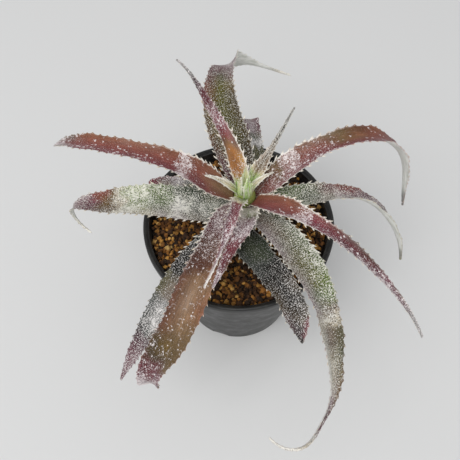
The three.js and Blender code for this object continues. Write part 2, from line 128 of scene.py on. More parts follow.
def add_node(tree: bpy.types.NodeTree, kind: str, *values: object,
             named: dict[str, object] | None = None, **settings: object) -> bpy.types.Node:
    """Adds a node with its settings, and gives its inputs constants or links.

    Args:
        tree: the material's node tree.
        kind: the node's type name, and after a colon its operation where it has one.
        values: for the inputs in use, in their order: a number, colour or vector, an output, or
            a node, which stands for its first output in use.
        named: the same for inputs by name.
        settings: the node's own properties.

    Returns:
        The new node.
    """
    kind, _, operation = kind.partition(":")
    node = tree.nodes.new("ShaderNode" + kind)
    if operation:
        settings["operation"] = operation
    for name, value in settings.items():
        setattr(node, name, value)
    sockets = [socket for socket in node.inputs if socket.enabled]
    by_name = [(node.inputs[name], value) for name, value in (named or {}).items()]
    for socket, value in [*zip(sockets, values), *by_name]:
        if isinstance(value, bpy.types.Node):
            value = next(output for output in value.outputs if output.enabled)
        if isinstance(value, bpy.types.NodeSocket):
            tree.links.new(value, socket)
        else:
            socket.default_value = value
    return node


def blank_material(name: str) -> tuple[bpy.types.Material, bpy.types.NodeTree]:
    """Makes a material with an empty node tree.

    Args:
        name: the material's name.

    Returns:
        The material and its tree.
    """
    material = bpy.data.materials.new(name)
    material.use_nodes = True
    material.node_tree.nodes.clear()
    return material, material.node_tree


def smoothstep(low: float, high: float, value: np.ndarray) -> np.ndarray:
    """Rises from 0 at low to 1 at high along x squared times (3 - 2 x)."""
    x = np.clip((np.asarray(value, float) - low) / (high - low), 0, 1)
    return x * x * (3 - 2 * x)


def station(values: tuple[float, ...], t: np.ndarray) -> np.ndarray:
    """Reads a list of equally spaced stations along a Catmull-Rom curve.

    Args:
        values: the value at each station from 0 to 1.
        t: places between 0 and 1.

    Returns:
        The value at each place.
    """
    v = np.asarray(values, float)
    ends = np.concatenate([[2 * v[0] - v[1]], v, [2 * v[-1] - v[-2]]])
    x = np.clip(t, 0, 1) * (len(v) - 1)
    i = np.minimum(x.astype(int), len(v) - 2)
    f = x - i
    p0, p1, p2, p3 = ends[i], ends[i + 1], ends[i + 2], ends[i + 3]
    return 0.5 * (2 * p1 + f * (p2 - p0 + f * (
        2 * p0 - 5 * p1 + 4 * p2 - p3 + f * (3 * p1 - p0 - 3 * p2 + p3))))


def ripple(x: np.ndarray, y: np.ndarray, seed: int) -> np.ndarray:
    """Smooth uneven value from about -1 to 1: the sum of five sine waves across the plane, whose
    directions, phases and lengths are drawn from the seed, divided by 2.5.

    Args:
        x: first coordinate, in wave lengths over 2 pi.
        y: second coordinate.
        seed: start of the random draws.

    Returns:
        The value at each place.
    """
    rng = np.random.default_rng(seed)
    draws = zip(rng.uniform(0, 2 * np.pi, 5), rng.uniform(0, 2 * np.pi, 5),
                rng.uniform(0.7, 1.7, 5))
    waves = [np.sin((x * np.cos(a) + y * np.sin(a)) * s + p) for a, p, s in draws]
    return sum(waves) / 2.5


def tube_triangles(rows: int, columns: int) -> np.ndarray:
    """Triangles of a closed tube, whose points are numbered ring by ring and are followed by the
    pole before the first ring and the pole after the last. Cell corners a, b in one ring and d, e
    in the next give a b e and a e d, and each pole closes its ring with a fan.

    Args:
        rows: number of rings.
        columns: points in each ring.

    Returns:
        Point numbers, three for each triangle.
    """
    here = np.arange(columns)
    after = (here + 1) % columns
    row = np.arange(rows - 1)[:, None] * columns
    a, b = row + here, row + after
    d, e = a + columns, b + columns
    count = rows * columns
    last = count - columns
    first_pole, last_pole = np.full(columns, count), np.full(columns, count + 1)
    corners = ((a, b, e), (a, e, d), (first_pole, after, here),
               (last + here, last + after, last_pole))
    return np.concatenate([np.stack(c, -1).reshape(-1, 3) for c in corners])


@dataclass
class Shape:
    """A closed body: points, triangles and a value, vector or colour for each point by name."""

    points: np.ndarray
    triangles: np.ndarray
    values: dict[str, np.ndarray] = field(default_factory=dict)

    def outward(self) -> "Shape":
        """Turns all triangles over where the signed volume, a sixth of the sum of the corners'
        triple products, is negative."""
        a, b, c = (self.points[self.triangles[:, k]] for k in range(3))
        if np.einsum("ij,ij->", a, np.cross(b, c)) < 0:
            self.triangles = self.triangles[:, ::-1]
        return self

    def joined(self, other: "Shape") -> "Shape":
        """Puts another body with the same named values into the same mesh."""
        values = {k: np.concatenate([v, other.values[k]]) for k, v in self.values.items()}
        return Shape(np.concatenate([self.points, other.points]),
                     np.concatenate([self.triangles, other.triangles + len(self.points)]), values)

    def piece(self, name: str, material: bpy.types.Material, slot: str | None = None,
              nodes: tuple[str, ...] = (), crease: float = 50.0) -> bpy.types.Object:
        """Stores the body as an object that rides on the root body.

        Args:
            name: the piece's name.
            material: its finish.
            slot: the name of a material slot; not used.
            nodes: solids that the piece stands for.
            crease: edges that bend more than this many degrees stay sharp.

        Returns:
            The new object.
        """
        mesh = bpy.data.meshes.new(name)
        mesh.vertices.add(len(self.points))
        mesh.vertices.foreach_set("co", (self.points * MM).astype(np.float32).ravel())
        mesh.loops.add(self.triangles.size)
        mesh.loops.foreach_set("vertex_index", self.triangles.astype(np.int32).ravel())
        mesh.polygons.add(len(self.triangles))
        starts = np.arange(0, self.triangles.size, 3, dtype=np.int32)
        mesh.polygons.foreach_set("loop_start", starts)
        mesh.update(calc_edges=True)
        for key, value in self.values.items():
            width = 1 if value.ndim == 1 else value.shape[1]
            kind, entry = {1: ("FLOAT", "value"), 3: ("FLOAT_VECTOR", "vector"),
                           4: ("FLOAT_COLOR", "color")}[width]
            layer = mesh.attributes.new(key, kind, "POINT")
            layer.data.foreach_set(entry, value.astype(np.float32).ravel())
        mesh.polygons.foreach_set("use_smooth", np.ones(len(self.triangles), bool))
        mesh.set_sharp_from_angle(angle=np.radians(crease))
        mesh.materials.append(material)
        piece = bpy.data.objects.new(name, mesh)
        bpy.context.scene.collection.objects.link(piece)
        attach(piece, "root")
        if nodes:
            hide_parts(*nodes)
        LOG.info("%s: %d triangles", name, len(self.triangles))
        return piece


def turned(profile: np.ndarray, sides: int, centre_x: float = 0.0) -> Shape:
    """Turns a profile round an upright axis: a point at radius r and height z becomes the ring
    (r cos a, r sin a, z). The first and last point lie on the axis and close the body.

    Args:
        profile: radius and height of each point.
        sides: points in a ring.
        centre_x: where the axis stands.

    Returns:
        The closed body.
    """
    angle = 2 * np.pi * np.arange(sides) / sides
    radius, height = profile[1:-1, 0][:, None], profile[1:-1, 1][:, None]
    ring = np.stack([centre_x + radius * np.cos(angle), radius * np.sin(angle),
                     height + 0 * angle], -1)
    rows = len(profile) - 2
    poles = np.array([[centre_x, 0, profile[0, 1]], [centre_x, 0, profile[-1, 1]]])
    points = np.concatenate([ring.reshape(-1, 3), poles])
    return Shape(points, tube_triangles(rows, sides)).outward()


def pot_radius(height: float) -> float:
    """Outer radius of the pot's wall, which leans out evenly from the foot to the lip."""
    return FOOT_RADIUS + (RIM_RADIUS - LIP_WIDTH - FOOT_RADIUS) * height / (POT_HEIGHT - LIP_HEIGHT)


@dataclass(frozen=True)
class NurseryPolypropylene:
    """Thin moulded black polypropylene: a soft satin sheen and faint dust."""

    base: int = 0x1E1E1E
    dust: int = 0x5A5852
    roughness: float = 0.36
    dust_patch_mm: float = 9.0
    grain_mm: float = 0.9

    def material(self) -> bpy.types.Material:
        """Builds the finish: dust in patches of about 9 mm over a fine moulding grain, drawn
        0.9 mm wide so that it shows.

        Returns:
            The material.
        """
        material, tree = blank_material("moulded_polypropylene")
        add = partial(add_node, tree)
        place = add("TexCoord").outputs["Object"]
        patch = add("TexNoise", place, named={
            "Scale": 1 / (self.dust_patch_mm * MM), "Detail": 5.0, "Roughness": 0.65})
        grain = add("TexNoise", place, named={"Scale": 1 / (self.grain_mm * MM), "Detail": 2.0})
        dusty = add("MapRange", patch, 0.46, 0.78, 0.0, 0.3)
        colour = add("Mix", dusty, linear(self.base), linear(self.dust), **BLENDED)
        rough = add("MapRange", patch, 0.3, 0.75, self.roughness - 0.06, self.roughness + 0.2)
        bump = add("Bump", named={"Height": grain, "Strength": 0.25, "Distance": 0.00008})
        shader = add("BsdfPrincipled", colour, named={
            "Roughness": rough, "Normal": bump, "IOR": 1.49})
        add("OutputMaterial", shader)
        return material


@dataclass
class NurseryPot:
    """Round nursery pot with a rolled lip, a foot ring with four arched notches and a raised
    channel with eight round drain holes."""

    finish: NurseryPolypropylene = NurseryPolypropylene()
    sides: int = 160
    floor_top: float = 4.4
    foot_inner_radius: float = 31.2
    channel_height: float = 2.4
    hub_radius: float = 13.0
    fillet: float = 1.6
    holes: int = 8
    hole_radius: float = 2.6
    hole_circle: float = 22.5
    notches: int = 4
    notch_azimuth: float = 252.0
    notch_half_width: float = 5.4
    notch_height: float = 2.2

    def profile(self) -> np.ndarray:
        """Half section from the underside's centre, out over the lip and back to the floor, with
        the lip rounded on a circle.

        Returns:
            Radius and height of each point.
        """
        foot = POT_HEIGHT - LIP_HEIGHT
        inner = self.foot_inner_radius
        turn = np.radians(np.linspace(0, 150, 9))
        lip = np.stack([RIM_RADIUS - 1.1 + 1.1 * np.cos(turn),
                        POT_HEIGHT - 1.1 + 1.1 * np.sin(turn)], 1)
        wall = np.linspace(0.3, foot, 8)
        outside = np.stack([[pot_radius(z) for z in wall], wall], 1)
        inside = np.stack([[pot_radius(z) - WALL for z in wall[:0:-1]], wall[:0:-1]], 1)
        bottom = self.floor_top + self.fillet
        return np.vstack([
            [[0, 0], [self.hub_radius - 0.3, 0], [self.hub_radius, 0.2],
             [self.hub_radius + 1, self.channel_height], [inner - 1, self.channel_height],
             [inner, 0.2], [inner + 0.2, 0], [FOOT_RADIUS - 0.3, 0]],
            outside,
            [[RIM_RADIUS - 0.6, foot + 0.3], [RIM_RADIUS - 0.15, foot + 0.6],
             [RIM_RADIUS, foot + 1.1]],
            lip,
            [[RIM_RADIUS - 2.5, POT_HEIGHT - 1.2], [RIM_RADIUS - 3.2, POT_HEIGHT - 1.5]],
            inside,
            [[pot_radius(bottom) - WALL, bottom],
             [pot_radius(self.floor_top) - WALL - self.fillet, self.floor_top],
             [0, self.floor_top]]])

    def body(self) -> Shape:
        """Turns the section and lifts the foot ring's edge into arches: within a notch's half
        width w, a point at sideways distance d rises to height times the root of 1 - (d / w)
        squared.

        Returns:
            The closed body, without its drain holes.
        """
        shape = turned(self.profile(), self.sides)
        x, y, z = shape.points.T
        angle = np.arctan2(y, x) - np.radians(self.notch_azimuth)
        quarter = 2 * np.pi / self.notches
        off = (angle + quarter / 2) % quarter - quarter / 2
        distance = np.hypot(x, y)
        share = np.clip(np.abs(distance * off) / self.notch_half_width, 0, 1)
        arch = self.notch_height * np.sqrt(1 - share ** 2)
        foot = (distance > self.foot_inner_radius - 0.5) & (z < self.notch_height)
        shape.points[:, 2] = np.where(foot, np.maximum(z, arch), z)
        return shape

    def drilled(self, pot: bpy.types.Object) -> None:
        """Cuts the drain holes through the floor with a solid that is then removed.

        Args:
            pot: the pot's object.
        """
        turn = np.linspace(0, 2 * np.pi, self.holes, endpoint=False)
        drills = [turned(np.array([[0, -3], [self.hole_radius, -3], [self.hole_radius, 8], [0, 8]],
                                  float), 24) for _ in turn]
        for drill, angle in zip(drills, turn):
            drill.points += [self.hole_circle * np.cos(angle), self.hole_circle * np.sin(angle), 0]
        cutter = drills[0]
        for drill in drills[1:]:
            cutter = cutter.joined(drill)
        tool = cutter.piece("drain_cutter", pot.data.materials[0])
        cut = pot.modifiers.new("drain", "BOOLEAN")
        cut.operation, cut.solver, cut.object = "DIFFERENCE", "EXACT", tool
        graph = bpy.context.evaluated_depsgraph_get()
        mesh = bpy.data.meshes.new_from_object(pot.evaluated_get(graph))
        pot.modifiers.clear()
        pot.data = mesh
        mesh.set_sharp_from_angle(angle=np.radians(35))
        bpy.data.objects.remove(tool)

    def build(self) -> None:
        """Makes the pot, which stands for its solid."""
        pot = self.body().piece("pot_moulding", self.finish.material(), "pot", ("pot",), 35.0)
        self.drilled(pot)


@dataclass(frozen=True)
class BakedClay:
    """Fired clay granules, damp and dusty: matt, pitted, mostly dark brown with ochre and a few
    olive grains."""

    ramp: tuple[tuple[float, int], ...] = (
        (0.0, 0x241609), (0.2, 0x422812), (0.4, 0x6A421A), (0.58, 0x986428), (0.74, 0xC28C3E),
        (0.92, 0xDAB26C), (1.0, 0x807230))
    pit_mm: float = 0.7
    stain_mm: float = 6.0

    def material(self) -> bpy.types.Material:
        """Builds the finish: the tone attribute picks the grain's fired colour, stains of about
        6 mm darken it, and pits drawn 0.7 mm wide roughen it.

        Returns:
            The material.
        """
        material, tree = blank_material("baked_clay_granules")
        add = partial(add_node, tree)
        place = add("TexCoord").outputs["Object"]
        tone = add("Attribute", attribute_name="tone").outputs["Fac"]
        pits = add("TexNoise", place, named={
            "Scale": 1 / (self.pit_mm * MM), "Detail": 3.0, "Roughness": 0.6})
        stain = add("TexNoise", place, named={"Scale": 1 / (self.stain_mm * MM), "Detail": 2.0})
        shifted = add("Math:MULTIPLY_ADD", pits, 0.12, -0.06)
        ramp = add("ValToRGB", add("Math:ADD", tone, shifted, use_clamp=True))
        stops = ramp.color_ramp.elements
        while len(stops) < len(self.ramp):
            stops.new(0.5)
        for stop, (at, value) in zip(stops, self.ramp):
            stop.position = at
            stop.color = linear(value)
        damp = add("MapRange", stain, 0.35, 0.65, 0.55, 1.15)
        colour = add("Mix", 1.0, ramp, damp, **MULTIPLIED)
        bump = add("Bump", named={"Height": pits, "Strength": 0.6, "Distance": 0.0003})
        shader = add("BsdfPrincipled", colour, named={"Roughness": 0.88, "Normal": bump})
        add("OutputMaterial", shader)
        return material


@dataclass
class ClaySoil:
    """Bed under loosely packed baked-clay granules, in the clay's darkest tone: painted shade in
    the gaps between the granules.
    """

    finish: BakedClay = BakedClay()
    spacing: float = 2.1
    layers: tuple[tuple[float, float, float], ...] = (
        (-0.9, 1.0, 1.0), (0.25, 0.62, 1.05), (1.1, 0.16, 1.1))
    smallest: float = 0.6
    largest: float = 1.6
    lump: float = 0.26
    stem_clearance: float = 6.4
    wall_heap: float = 1.1
    seed: int = 41

    def top(self, x: np.ndarray, y: np.ndarray) -> np.ndarray:
        """Height of the surface: a mound that falls with the square of the distance, and a heap
        against the wall over the outer sixth."""
        out = np.hypot(x, y) / (pot_radius(SOIL_TOP) - WALL)
        return SOIL_TOP + SOIL_MOUND * (1 - out ** 2) + self.wall_heap * smoothstep(0.84, 1, out)

    def bed(self) -> Shape:
        """Closed filling of the pot: the wall's inner cone, and a top 1.5 mm under the mound that
        ripples by 0.5 mm.

        Returns:
            The body, with its tone.
        """
        edge = pot_radius(SOIL_TOP) - WALL - 0.35
        foot = pot_radius(4.4) - WALL - 2.0
        out = np.linspace(0, 1, 30)[::-1]
        top = np.stack([edge * out, 0 * out], 1)
        profile = np.vstack([[[0, 4.8], [foot * 0.5, 4.8], [foot, 4.8]], top])
        shape = turned(profile, 96)
        x, y, z = shape.points.T
        surface = self.top(x, y) - 1.5 + 0.5 * ripple(x * 1.6, y * 1.6, self.seed)
        shape.points[:, 2] = np.where(z < 1, surface, z)
        # The bed takes the clay's darkest tone: painted shade where it shows between the granules.
        shape.values["tone"] = np.full(len(x), 0.04)
        return shape.outward()

    def grain(self) -> tuple[np.ndarray, np.ndarray]:
        """Unit ball of 26 points: the points of a cube's corners, edges and faces, each divided
        by its length.

        Returns:
            Points and triangles.
        """
        side = np.array([-1.0, 0.0, 1.0])
        lattice = np.stack(np.meshgrid(side, side, side, indexing="ij"), -1).reshape(-1, 3)
        shell = lattice[np.abs(lattice).max(1) == 1]
        number = {tuple(p): i for i, p in enumerate(shell)}
        triangles = []
        for axis in range(3):
            for face in (-1.0, 1.0):
                for i in (0, 1):
                    for j in (0, 1):
                        corner = [np.insert([side[i + a], side[j + b]], axis, face)
                                  for a, b in ((0, 0), (1, 0), (1, 1), (0, 1))]
                        q = [number[tuple(c)] for c in corner]
                        q = q if (face > 0) != (axis == 1) else q[::-1]
                        triangles += [(q[0], q[1], q[2]), (q[0], q[2], q[3])]
        return shell / np.linalg.norm(shell, axis=1, keepdims=True), np.array(triangles)

    def places(self, rng: np.random.Generator) -> tuple[np.ndarray, np.ndarray]:
        """Centres and sizes of the granules: a hexagonal pattern for each layer, shaken by a
        third of the spacing, thinned to the layer's share and kept off the wall and the stem.

        Args:
            rng: source of the random draws.

        Returns:
            Centres and mean radii.
        """
        centres, sizes = [], []
        reach = pot_radius(SOIL_TOP) - WALL
        count = int(reach / self.spacing) + 2
        step = np.arange(-count, count + 1)
        for lift, share, grow in self.layers:
            column, row = np.meshgrid(step, step)
            x = (column + 0.5 * (row % 2)) * self.spacing + rng.uniform(-0.5, 0.5) * self.spacing
            y = row * self.spacing * 0.866 + 0 * x
            x = x + rng.uniform(-0.34, 0.34, x.shape) * self.spacing
            y = y + rng.uniform(-0.34, 0.34, x.shape) * self.spacing
            size = grow * (self.smallest + (self.largest - self.smallest)
                           * rng.beta(1.6, 2.2, x.shape))
            keep = ((np.hypot(x, y) + size * 0.75 < reach)
                    & (np.hypot(x - STEM_X, y) > self.stem_clearance + size * 0.6)
                    & (rng.random(x.shape) < share))
            z = self.top(x, y) + lift + rng.uniform(-0.35, 0.35, x.shape)
            centres.append(np.stack([x, y, z], -1)[keep])
            sizes.append(size[keep])
        return np.concatenate(centres), np.concatenate(sizes)

    def granules(self) -> Shape:
        """All granules in one mesh: the unit ball drawn along each axis to 0.62 to 1.3 times the
        granule's size, dented by up to the lump share, turned about a random axis and moved to
        its place.

        Returns:
            The bodies, with the tone of each.
        """
        rng = np.random.default_rng(self.seed)
        ball, triangles = self.grain()
        centres, sizes = self.places(rng)
        n, m = len(centres), len(ball)
        stretch = rng.uniform(0.62, 1.3, (n, 1, 3)) * sizes[:, None, None]
        dent = 1 + rng.uniform(-self.lump, self.lump, (n, m, 1))
        q = rng.normal(size=(n, 4))
        w, x, y, z = (q / np.linalg.norm(q, axis=1, keepdims=True)).T
        turn = np.stack([
            1 - 2 * (y * y + z * z), 2 * (x * y - z * w), 2 * (x * z + y * w),
            2 * (x * y + z * w), 1 - 2 * (x * x + z * z), 2 * (y * z - x * w),
            2 * (x * z - y * w), 2 * (y * z + x * w), 1 - 2 * (x * x + y * y)], -1)
        local = ball[None] * stretch * dent
        points = np.einsum("nij,nmj->nmi", turn.reshape(n, 3, 3), local) + centres[:, None]
        faces = triangles[None] + (np.arange(n) * m)[:, None, None]
        tone = rng.beta(1.25, 1.9, n)
        values = {"tone": np.repeat(tone, m)}
        return Shape(points.reshape(-1, 3), faces.reshape(-1, 3), values).outward()

    def build(self) -> None:
        """Makes the bed, which stands for the soil's solid, and the granules on it."""
        material = self.finish.material()
        self.bed().piece("soil_bed", material, "soil", ("soil",))
        self.granules().piece("soil_granules", material, "soil", crease=32.0)


@dataclass(frozen=True)
class StemRind:
    """Skin of an old bromeliad stem: dull olive-brown, fibrous along its length, and pale green
    where the youngest leaves leave it."""

    old: int = 0x5A4E36
    young: int = 0xA9BA62
    fibre_mm: float = 0.5

    def material(self) -> bpy.types.Material:
        """Builds the finish: fibres 0.5 mm wide and drawn out eight times along the stem, and a
        green that comes in from 108 to 117 mm up.

        Returns:
            The material.
        """
        material, tree = blank_material("bromeliad_stem_rind")
        add = partial(add_node, tree)
        place = add("TexCoord").outputs["Object"]
        scale = 1 / (self.fibre_mm * MM)
        drawn = add("VectorMath:MULTIPLY", place, (scale, scale, scale / 8))
        fibre = add("TexNoise", drawn, named={"Scale": 1.0, "Detail": 3.0})
        fresh = add("MapRange", add("SeparateXYZ", place).outputs["Z"], 0.108, 0.117, 0.0, 1.0)
        base = add("Mix", fresh, linear(self.old), linear(self.young), **BLENDED)
        shade = add("MapRange", fibre, 0.3, 0.7, 0.6, 1.1)
        colour = add("Mix", 1.0, base, shade, **MULTIPLIED)
        bump = add("Bump", named={"Height": fibre, "Strength": 0.5, "Distance": 0.0003})
        shader = add("BsdfPrincipled", colour, named={"Roughness": 0.8, "Normal": bump})
        add("OutputMaterial", shader)
        return material


@dataclass
class Stem:
    """Short stem with slight rings where leaves left it and a domed growing tip."""

    finish: StemRind = StemRind()
    radius: float = 5.6
    bottom: float = 62.0
    crown_start: float = 115.5
    top: float = 122.4
    ring_depth: float = 0.3
    rings: int = 13

    def build(self) -> None:
        """Turns the stem: the radius dips by the ring depth with the square of a sine once for
        each ring, and closes on a quarter ellipse. It stands for its solid."""
        z = np.linspace(self.bottom + 0.6, self.crown_start, 100)
        wave = np.sin(np.pi * self.rings * (z - self.bottom) / (self.crown_start - self.bottom))
        side = np.stack([self.radius - self.ring_depth * wave ** 2, z], 1)
        turn = np.radians(np.linspace(6, 90, 12))
        dome = np.stack([(self.radius - 0.2) * np.cos(turn),
                         self.crown_start + (self.top - self.crown_start) * np.sin(turn)], 1)
        profile = np.vstack([[[0, self.bottom], [self.radius - 1, self.bottom]], side, dome])
        profile[-1, 0] = 0
        shape = turned(profile, 64, STEM_X)
        shape.piece("stem_rind", self.finish.material(), "stem", ("stem",))


@dataclass(frozen=True)
class LeafSkin:
    """Waxy bromeliad leaf skin with silvery scurf: satin where bare, matt and chalky where scales
    lie, in flecks and in dots set in rows along the blade, with dark pores between them."""

    slot: str
    scales: Tone = T.SCALE_GREY
    dot_mm: float = 0.95
    stretch: float = 1.25
    dots: float = 1.0
    fleck_mm: float = 0.52
    flecks: float = 0.95
    pores: float = 0.6
    arcs: float = 0.0
    specular: float = 0.2
    bare_roughness: float = 0.4
    scurf_roughness: float = 0.78
    vein_mm: float = 0.8
    veins: float = 0.2
    lines: float = 0.0
    patches: float = 0.5
    rim: float = 0.9
    cover: float = 0.92

    ARC_MM = 2.8

    def material(self) -> bpy.types.Material:
        """Builds the finish from the blade's place in millimetres. Scales are ragged flecks,
        drawn about 0.5 mm wide so that they show, and dots about 1 mm apart, drawn longer along
        the blade; a dot shows where its random number is under the scurf share, and grows with
        it. Both lie thicker in patches of about 4 mm, with dark pores 0.7 mm wide between, and
        above two thirds they close to a ragged chalky band. On some skins the scales' edges stay
        as thin arcs, 2.8 mm apart, and young skin has white lines along the blade. The underside
        is white with grey-green lines.

        Returns:
            The material.
        """
        material, tree = blank_material("scurfy_leaf_" + self.slot)
        add = partial(add_node, tree)
        blade, skin, edge, scurf, rim, under = (
            add("Attribute", attribute_name=name).outputs[output] for name, output in (
                ("blade", "Vector"), ("skin", "Color"), ("edge", "Color"), ("scurf", "Fac"),
                ("rim", "Fac"), ("under", "Fac")))

        # Uneven noises: width in millimetres, how much longer they are along the blade, detail
        cloud = {}
        for name, width, stretch, detail in (
                ("patch", 4.2, 1.3, 3.0), ("chalk", 1.3, 1.5, 5.0), ("pore", 0.7, 1.1, 1.0),
                ("fleck", self.fleck_mm, 1.1, 2.0), ("vein", self.vein_mm, 11.0, 2.0),
                ("mottle", 4.5, 1.6, 3.0), ("rib", 0.6, 18.0, 2.0), ("wear", 1.1, 1.0, 2.0),
                *([("line", 0.55, 16.0, 1.0)] if self.lines else [])):
            at = add("VectorMath:MULTIPLY", blade, (1 / width, 1 / (width * stretch), 0.0))
            cloud[name] = add("TexNoise", at, noise_dimensions="2D", named={
                "Scale": 1.0, "Detail": detail, "Roughness": 0.65})

        # Cells: width in millimetres, how much longer they are, how far they are pushed about
        cells = {}
        for name, width, stretch, warp in (
                ("dot", self.dot_mm, self.stretch, 0.9),
                *([("arc", self.ARC_MM, 1.0, 0.0)] if self.arcs else [])):
            at = add("VectorMath:MULTIPLY", blade, (1 / width, 1 / (width * stretch), 0.0))
            push = add("TexNoise", at, noise_dimensions="2D", named={"Scale": 2.3, "Detail": 0.0})
            at = add("VectorMath:MULTIPLY_ADD", push.outputs["Color"], (warp, warp, 0.0), at)
            cells[name] = add("TexVoronoi", at, voronoi_dimensions="2D", named={
                "Scale": 1.0, "Randomness": 0.95})

        patchy = add("Math:MULTIPLY", add("Math:SUBTRACT", cloud["patch"], 0.5),
                     add("MapRange", scurf, 0.0, 0.4, 0.0, self.patches))
        scurf = add("Math:ADD", scurf, patchy)
        draw = add("SeparateColor", cells["dot"].outputs["Color"]).outputs
        present = add("Math:LESS_THAN", draw["Red"], add("Math:MULTIPLY", scurf, 1.1))
        radius = add("Math:MULTIPLY", add("Math:MULTIPLY_ADD", scurf, 0.2, 0.22),
                     add("Math:MULTIPLY_ADD", draw["Green"], 0.8, 0.6))
        inside = add("Math:SUBTRACT", radius, cells["dot"].outputs["Distance"])
        disc = add("Math:MULTIPLY_ADD", inside, 6.0, 0.5, use_clamp=True)
        dots = add("Math:MULTIPLY", add("Math:MULTIPLY", present, disc), self.dots)
        thick = add("Math:MULTIPLY_ADD", cloud["chalk"], 0.9, add("Math:SUBTRACT", scurf, 0.45))
        chalk = add("MapRange", thick, 0.7, 0.8, 0.0, 0.95)
        ragged = add("Math:MULTIPLY_ADD", scurf, 0.25, cloud["fleck"])
        fleck = add("Math:MULTIPLY", add("MapRange", scurf, 0.15, 0.45, self.flecks, 0.95),
                    add("MapRange", ragged, 0.65, 0.682, 0.0, 1.0))
        scales = add("Math:MAXIMUM", add("Math:MAXIMUM", dots, chalk), fleck)
        if self.lines:
            line = add("Math:MULTIPLY", add("MapRange", cloud["line"], 0.54, 0.62, 0.0, self.lines),
                       add("MapRange", scurf, 0.3, 0.5, 1.0, 0.3))
            scales = add("Math:MAXIMUM", scales, line)
        if self.arcs:
            old = cells["arc"].outputs
            at = add("VectorMath:MULTIPLY", blade, (1 / self.ARC_MM, 1 / self.ARC_MM, 0.0))
            local = add("VectorMath:SUBTRACT", at, old["Position"])
            inner = add("VectorMath:LENGTH", add("VectorMath:SUBTRACT", local, (0.05, 0.17, 0.0)))
            ring = add("Math:MINIMUM", add("MapRange", old["Distance"], 0.34, 0.42, 1.0, 0.0),
                       add("MapRange", inner, 0.33, 0.42, 0.0, 1.0))
            picked = add("Math:SUBTRACT", add("Math:MULTIPLY_ADD", scurf, 0.8, self.arcs),
                         add("SeparateColor", old["Color"]))
            shown = add("MapRange", picked, 0.0, 0.1, 0.0, 0.36)
            scales = add("Math:MAXIMUM", scales, add("Math:MULTIPLY", ring, shown))

        shade = add("Math:MULTIPLY", add("MapRange", cloud["vein"], 0.3, 0.7,
                                         1 - self.veins, 1 + self.veins),
                    add("MapRange", cloud["mottle"], 0.3, 0.7, 0.86, 1.14))
        pore = add("Math:MULTIPLY", add("MapRange", cloud["pore"], 0.38, 0.47, 1.0, 0.0),
                   self.pores)
        deep = add("Math:MULTIPLY", pore, add("MapRange", scurf, 0.05, 0.3, 0.25, 1.0))
        light = add("Math:MULTIPLY", shade, add("Math:MULTIPLY_ADD", deep, -0.8, 1.0))
        veined = add("Mix", 1.0, skin, light, **MULTIPLIED)
        ribs = add("MapRange", cloud["rib"], 0.42, 0.62, 0.0, 0.6)
        ribbed = add("Mix", ribs, linear(T.UNDERSIDE.value), linear(T.UNDER_VEIN.value), **BLENDED)
        pale = add("Mix", 1.0, ribbed, add("MapRange", shade, 0.7, 1.3, 0.9, 1.06), **MULTIPLIED)
        sided = add("Mix", add("Math:MULTIPLY", under, 0.92), veined, pale, **BLENDED)
        tint = add("Mix", add("MapRange", draw["Blue"], 0.0, 1.0, 0.0, 0.35),
                   linear(self.scales.value), skin, **BLENDED)
        cover = add("Math:MULTIPLY", add("Math:MULTIPLY", scales, self.cover),
                    add("Math:MULTIPLY_ADD", under, -0.7, 1.0))
        dusted = add("Mix", cover, sided, tint, **BLENDED)
        worn = add("Math:MULTIPLY", rim, add("MapRange", cloud["wear"], 0.38, 0.52, 0.2, 1.0))
        edged = add("Mix", worn, dusted, edge, **BLENDED)
        relief = add("Math:MULTIPLY_ADD", scales, 0.6, add("Math:MULTIPLY", shade, 0.5))
        bump = add("Bump", named={"Height": relief, "Strength": 0.6, "Distance": 0.0002})
        rough = add("MapRange", scales, 0.0, 1.0, self.bare_roughness, self.scurf_roughness)
        shader = add("BsdfPrincipled", edged, named={
            "Normal": bump, "IOR": 1.45, "Specular IOR Level": self.specular,
            "Roughness": rough})
        add("OutputMaterial", shader)
        return material


class LeafKind(Enum):
    """The leaf finishes by age and colour."""

    GREY = LeafSkin("leaf_grey", T.SCALE_GREY, dots=0.0, fleck_mm=0.58, pores=0.7, rim=0.35,
                    patches=0.7)
    GREEN = LeafSkin("leaf_green", T.SCALE_CREAM, dots=0.0, fleck_mm=0.6, pores=0.95,
                     arcs=0.1, patches=0.75, rim=0.45)
    BROWN = LeafSkin("leaf_brown", T.SCALE_PINK, dot_mm=1.0, flecks=0.2, pores=0.5, arcs=0.2,
                     specular=0.3, bare_roughness=0.32)
    RED = LeafSkin("leaf_red", T.SCALE_PINK, dot_mm=1.2, stretch=1.5, flecks=0.2, pores=0.5,
                   specular=0.3, bare_roughness=0.36, veins=0.14)
    YOUNG = LeafSkin("leaf_young", T.SCALE_CREAM, dots=0.5, flecks=0.6, pores=0.5,
                     bare_roughness=0.42, veins=0.3, lines=0.6)


Band = tuple[float, tuple[Tone, ...], float | tuple[float, float, float]]


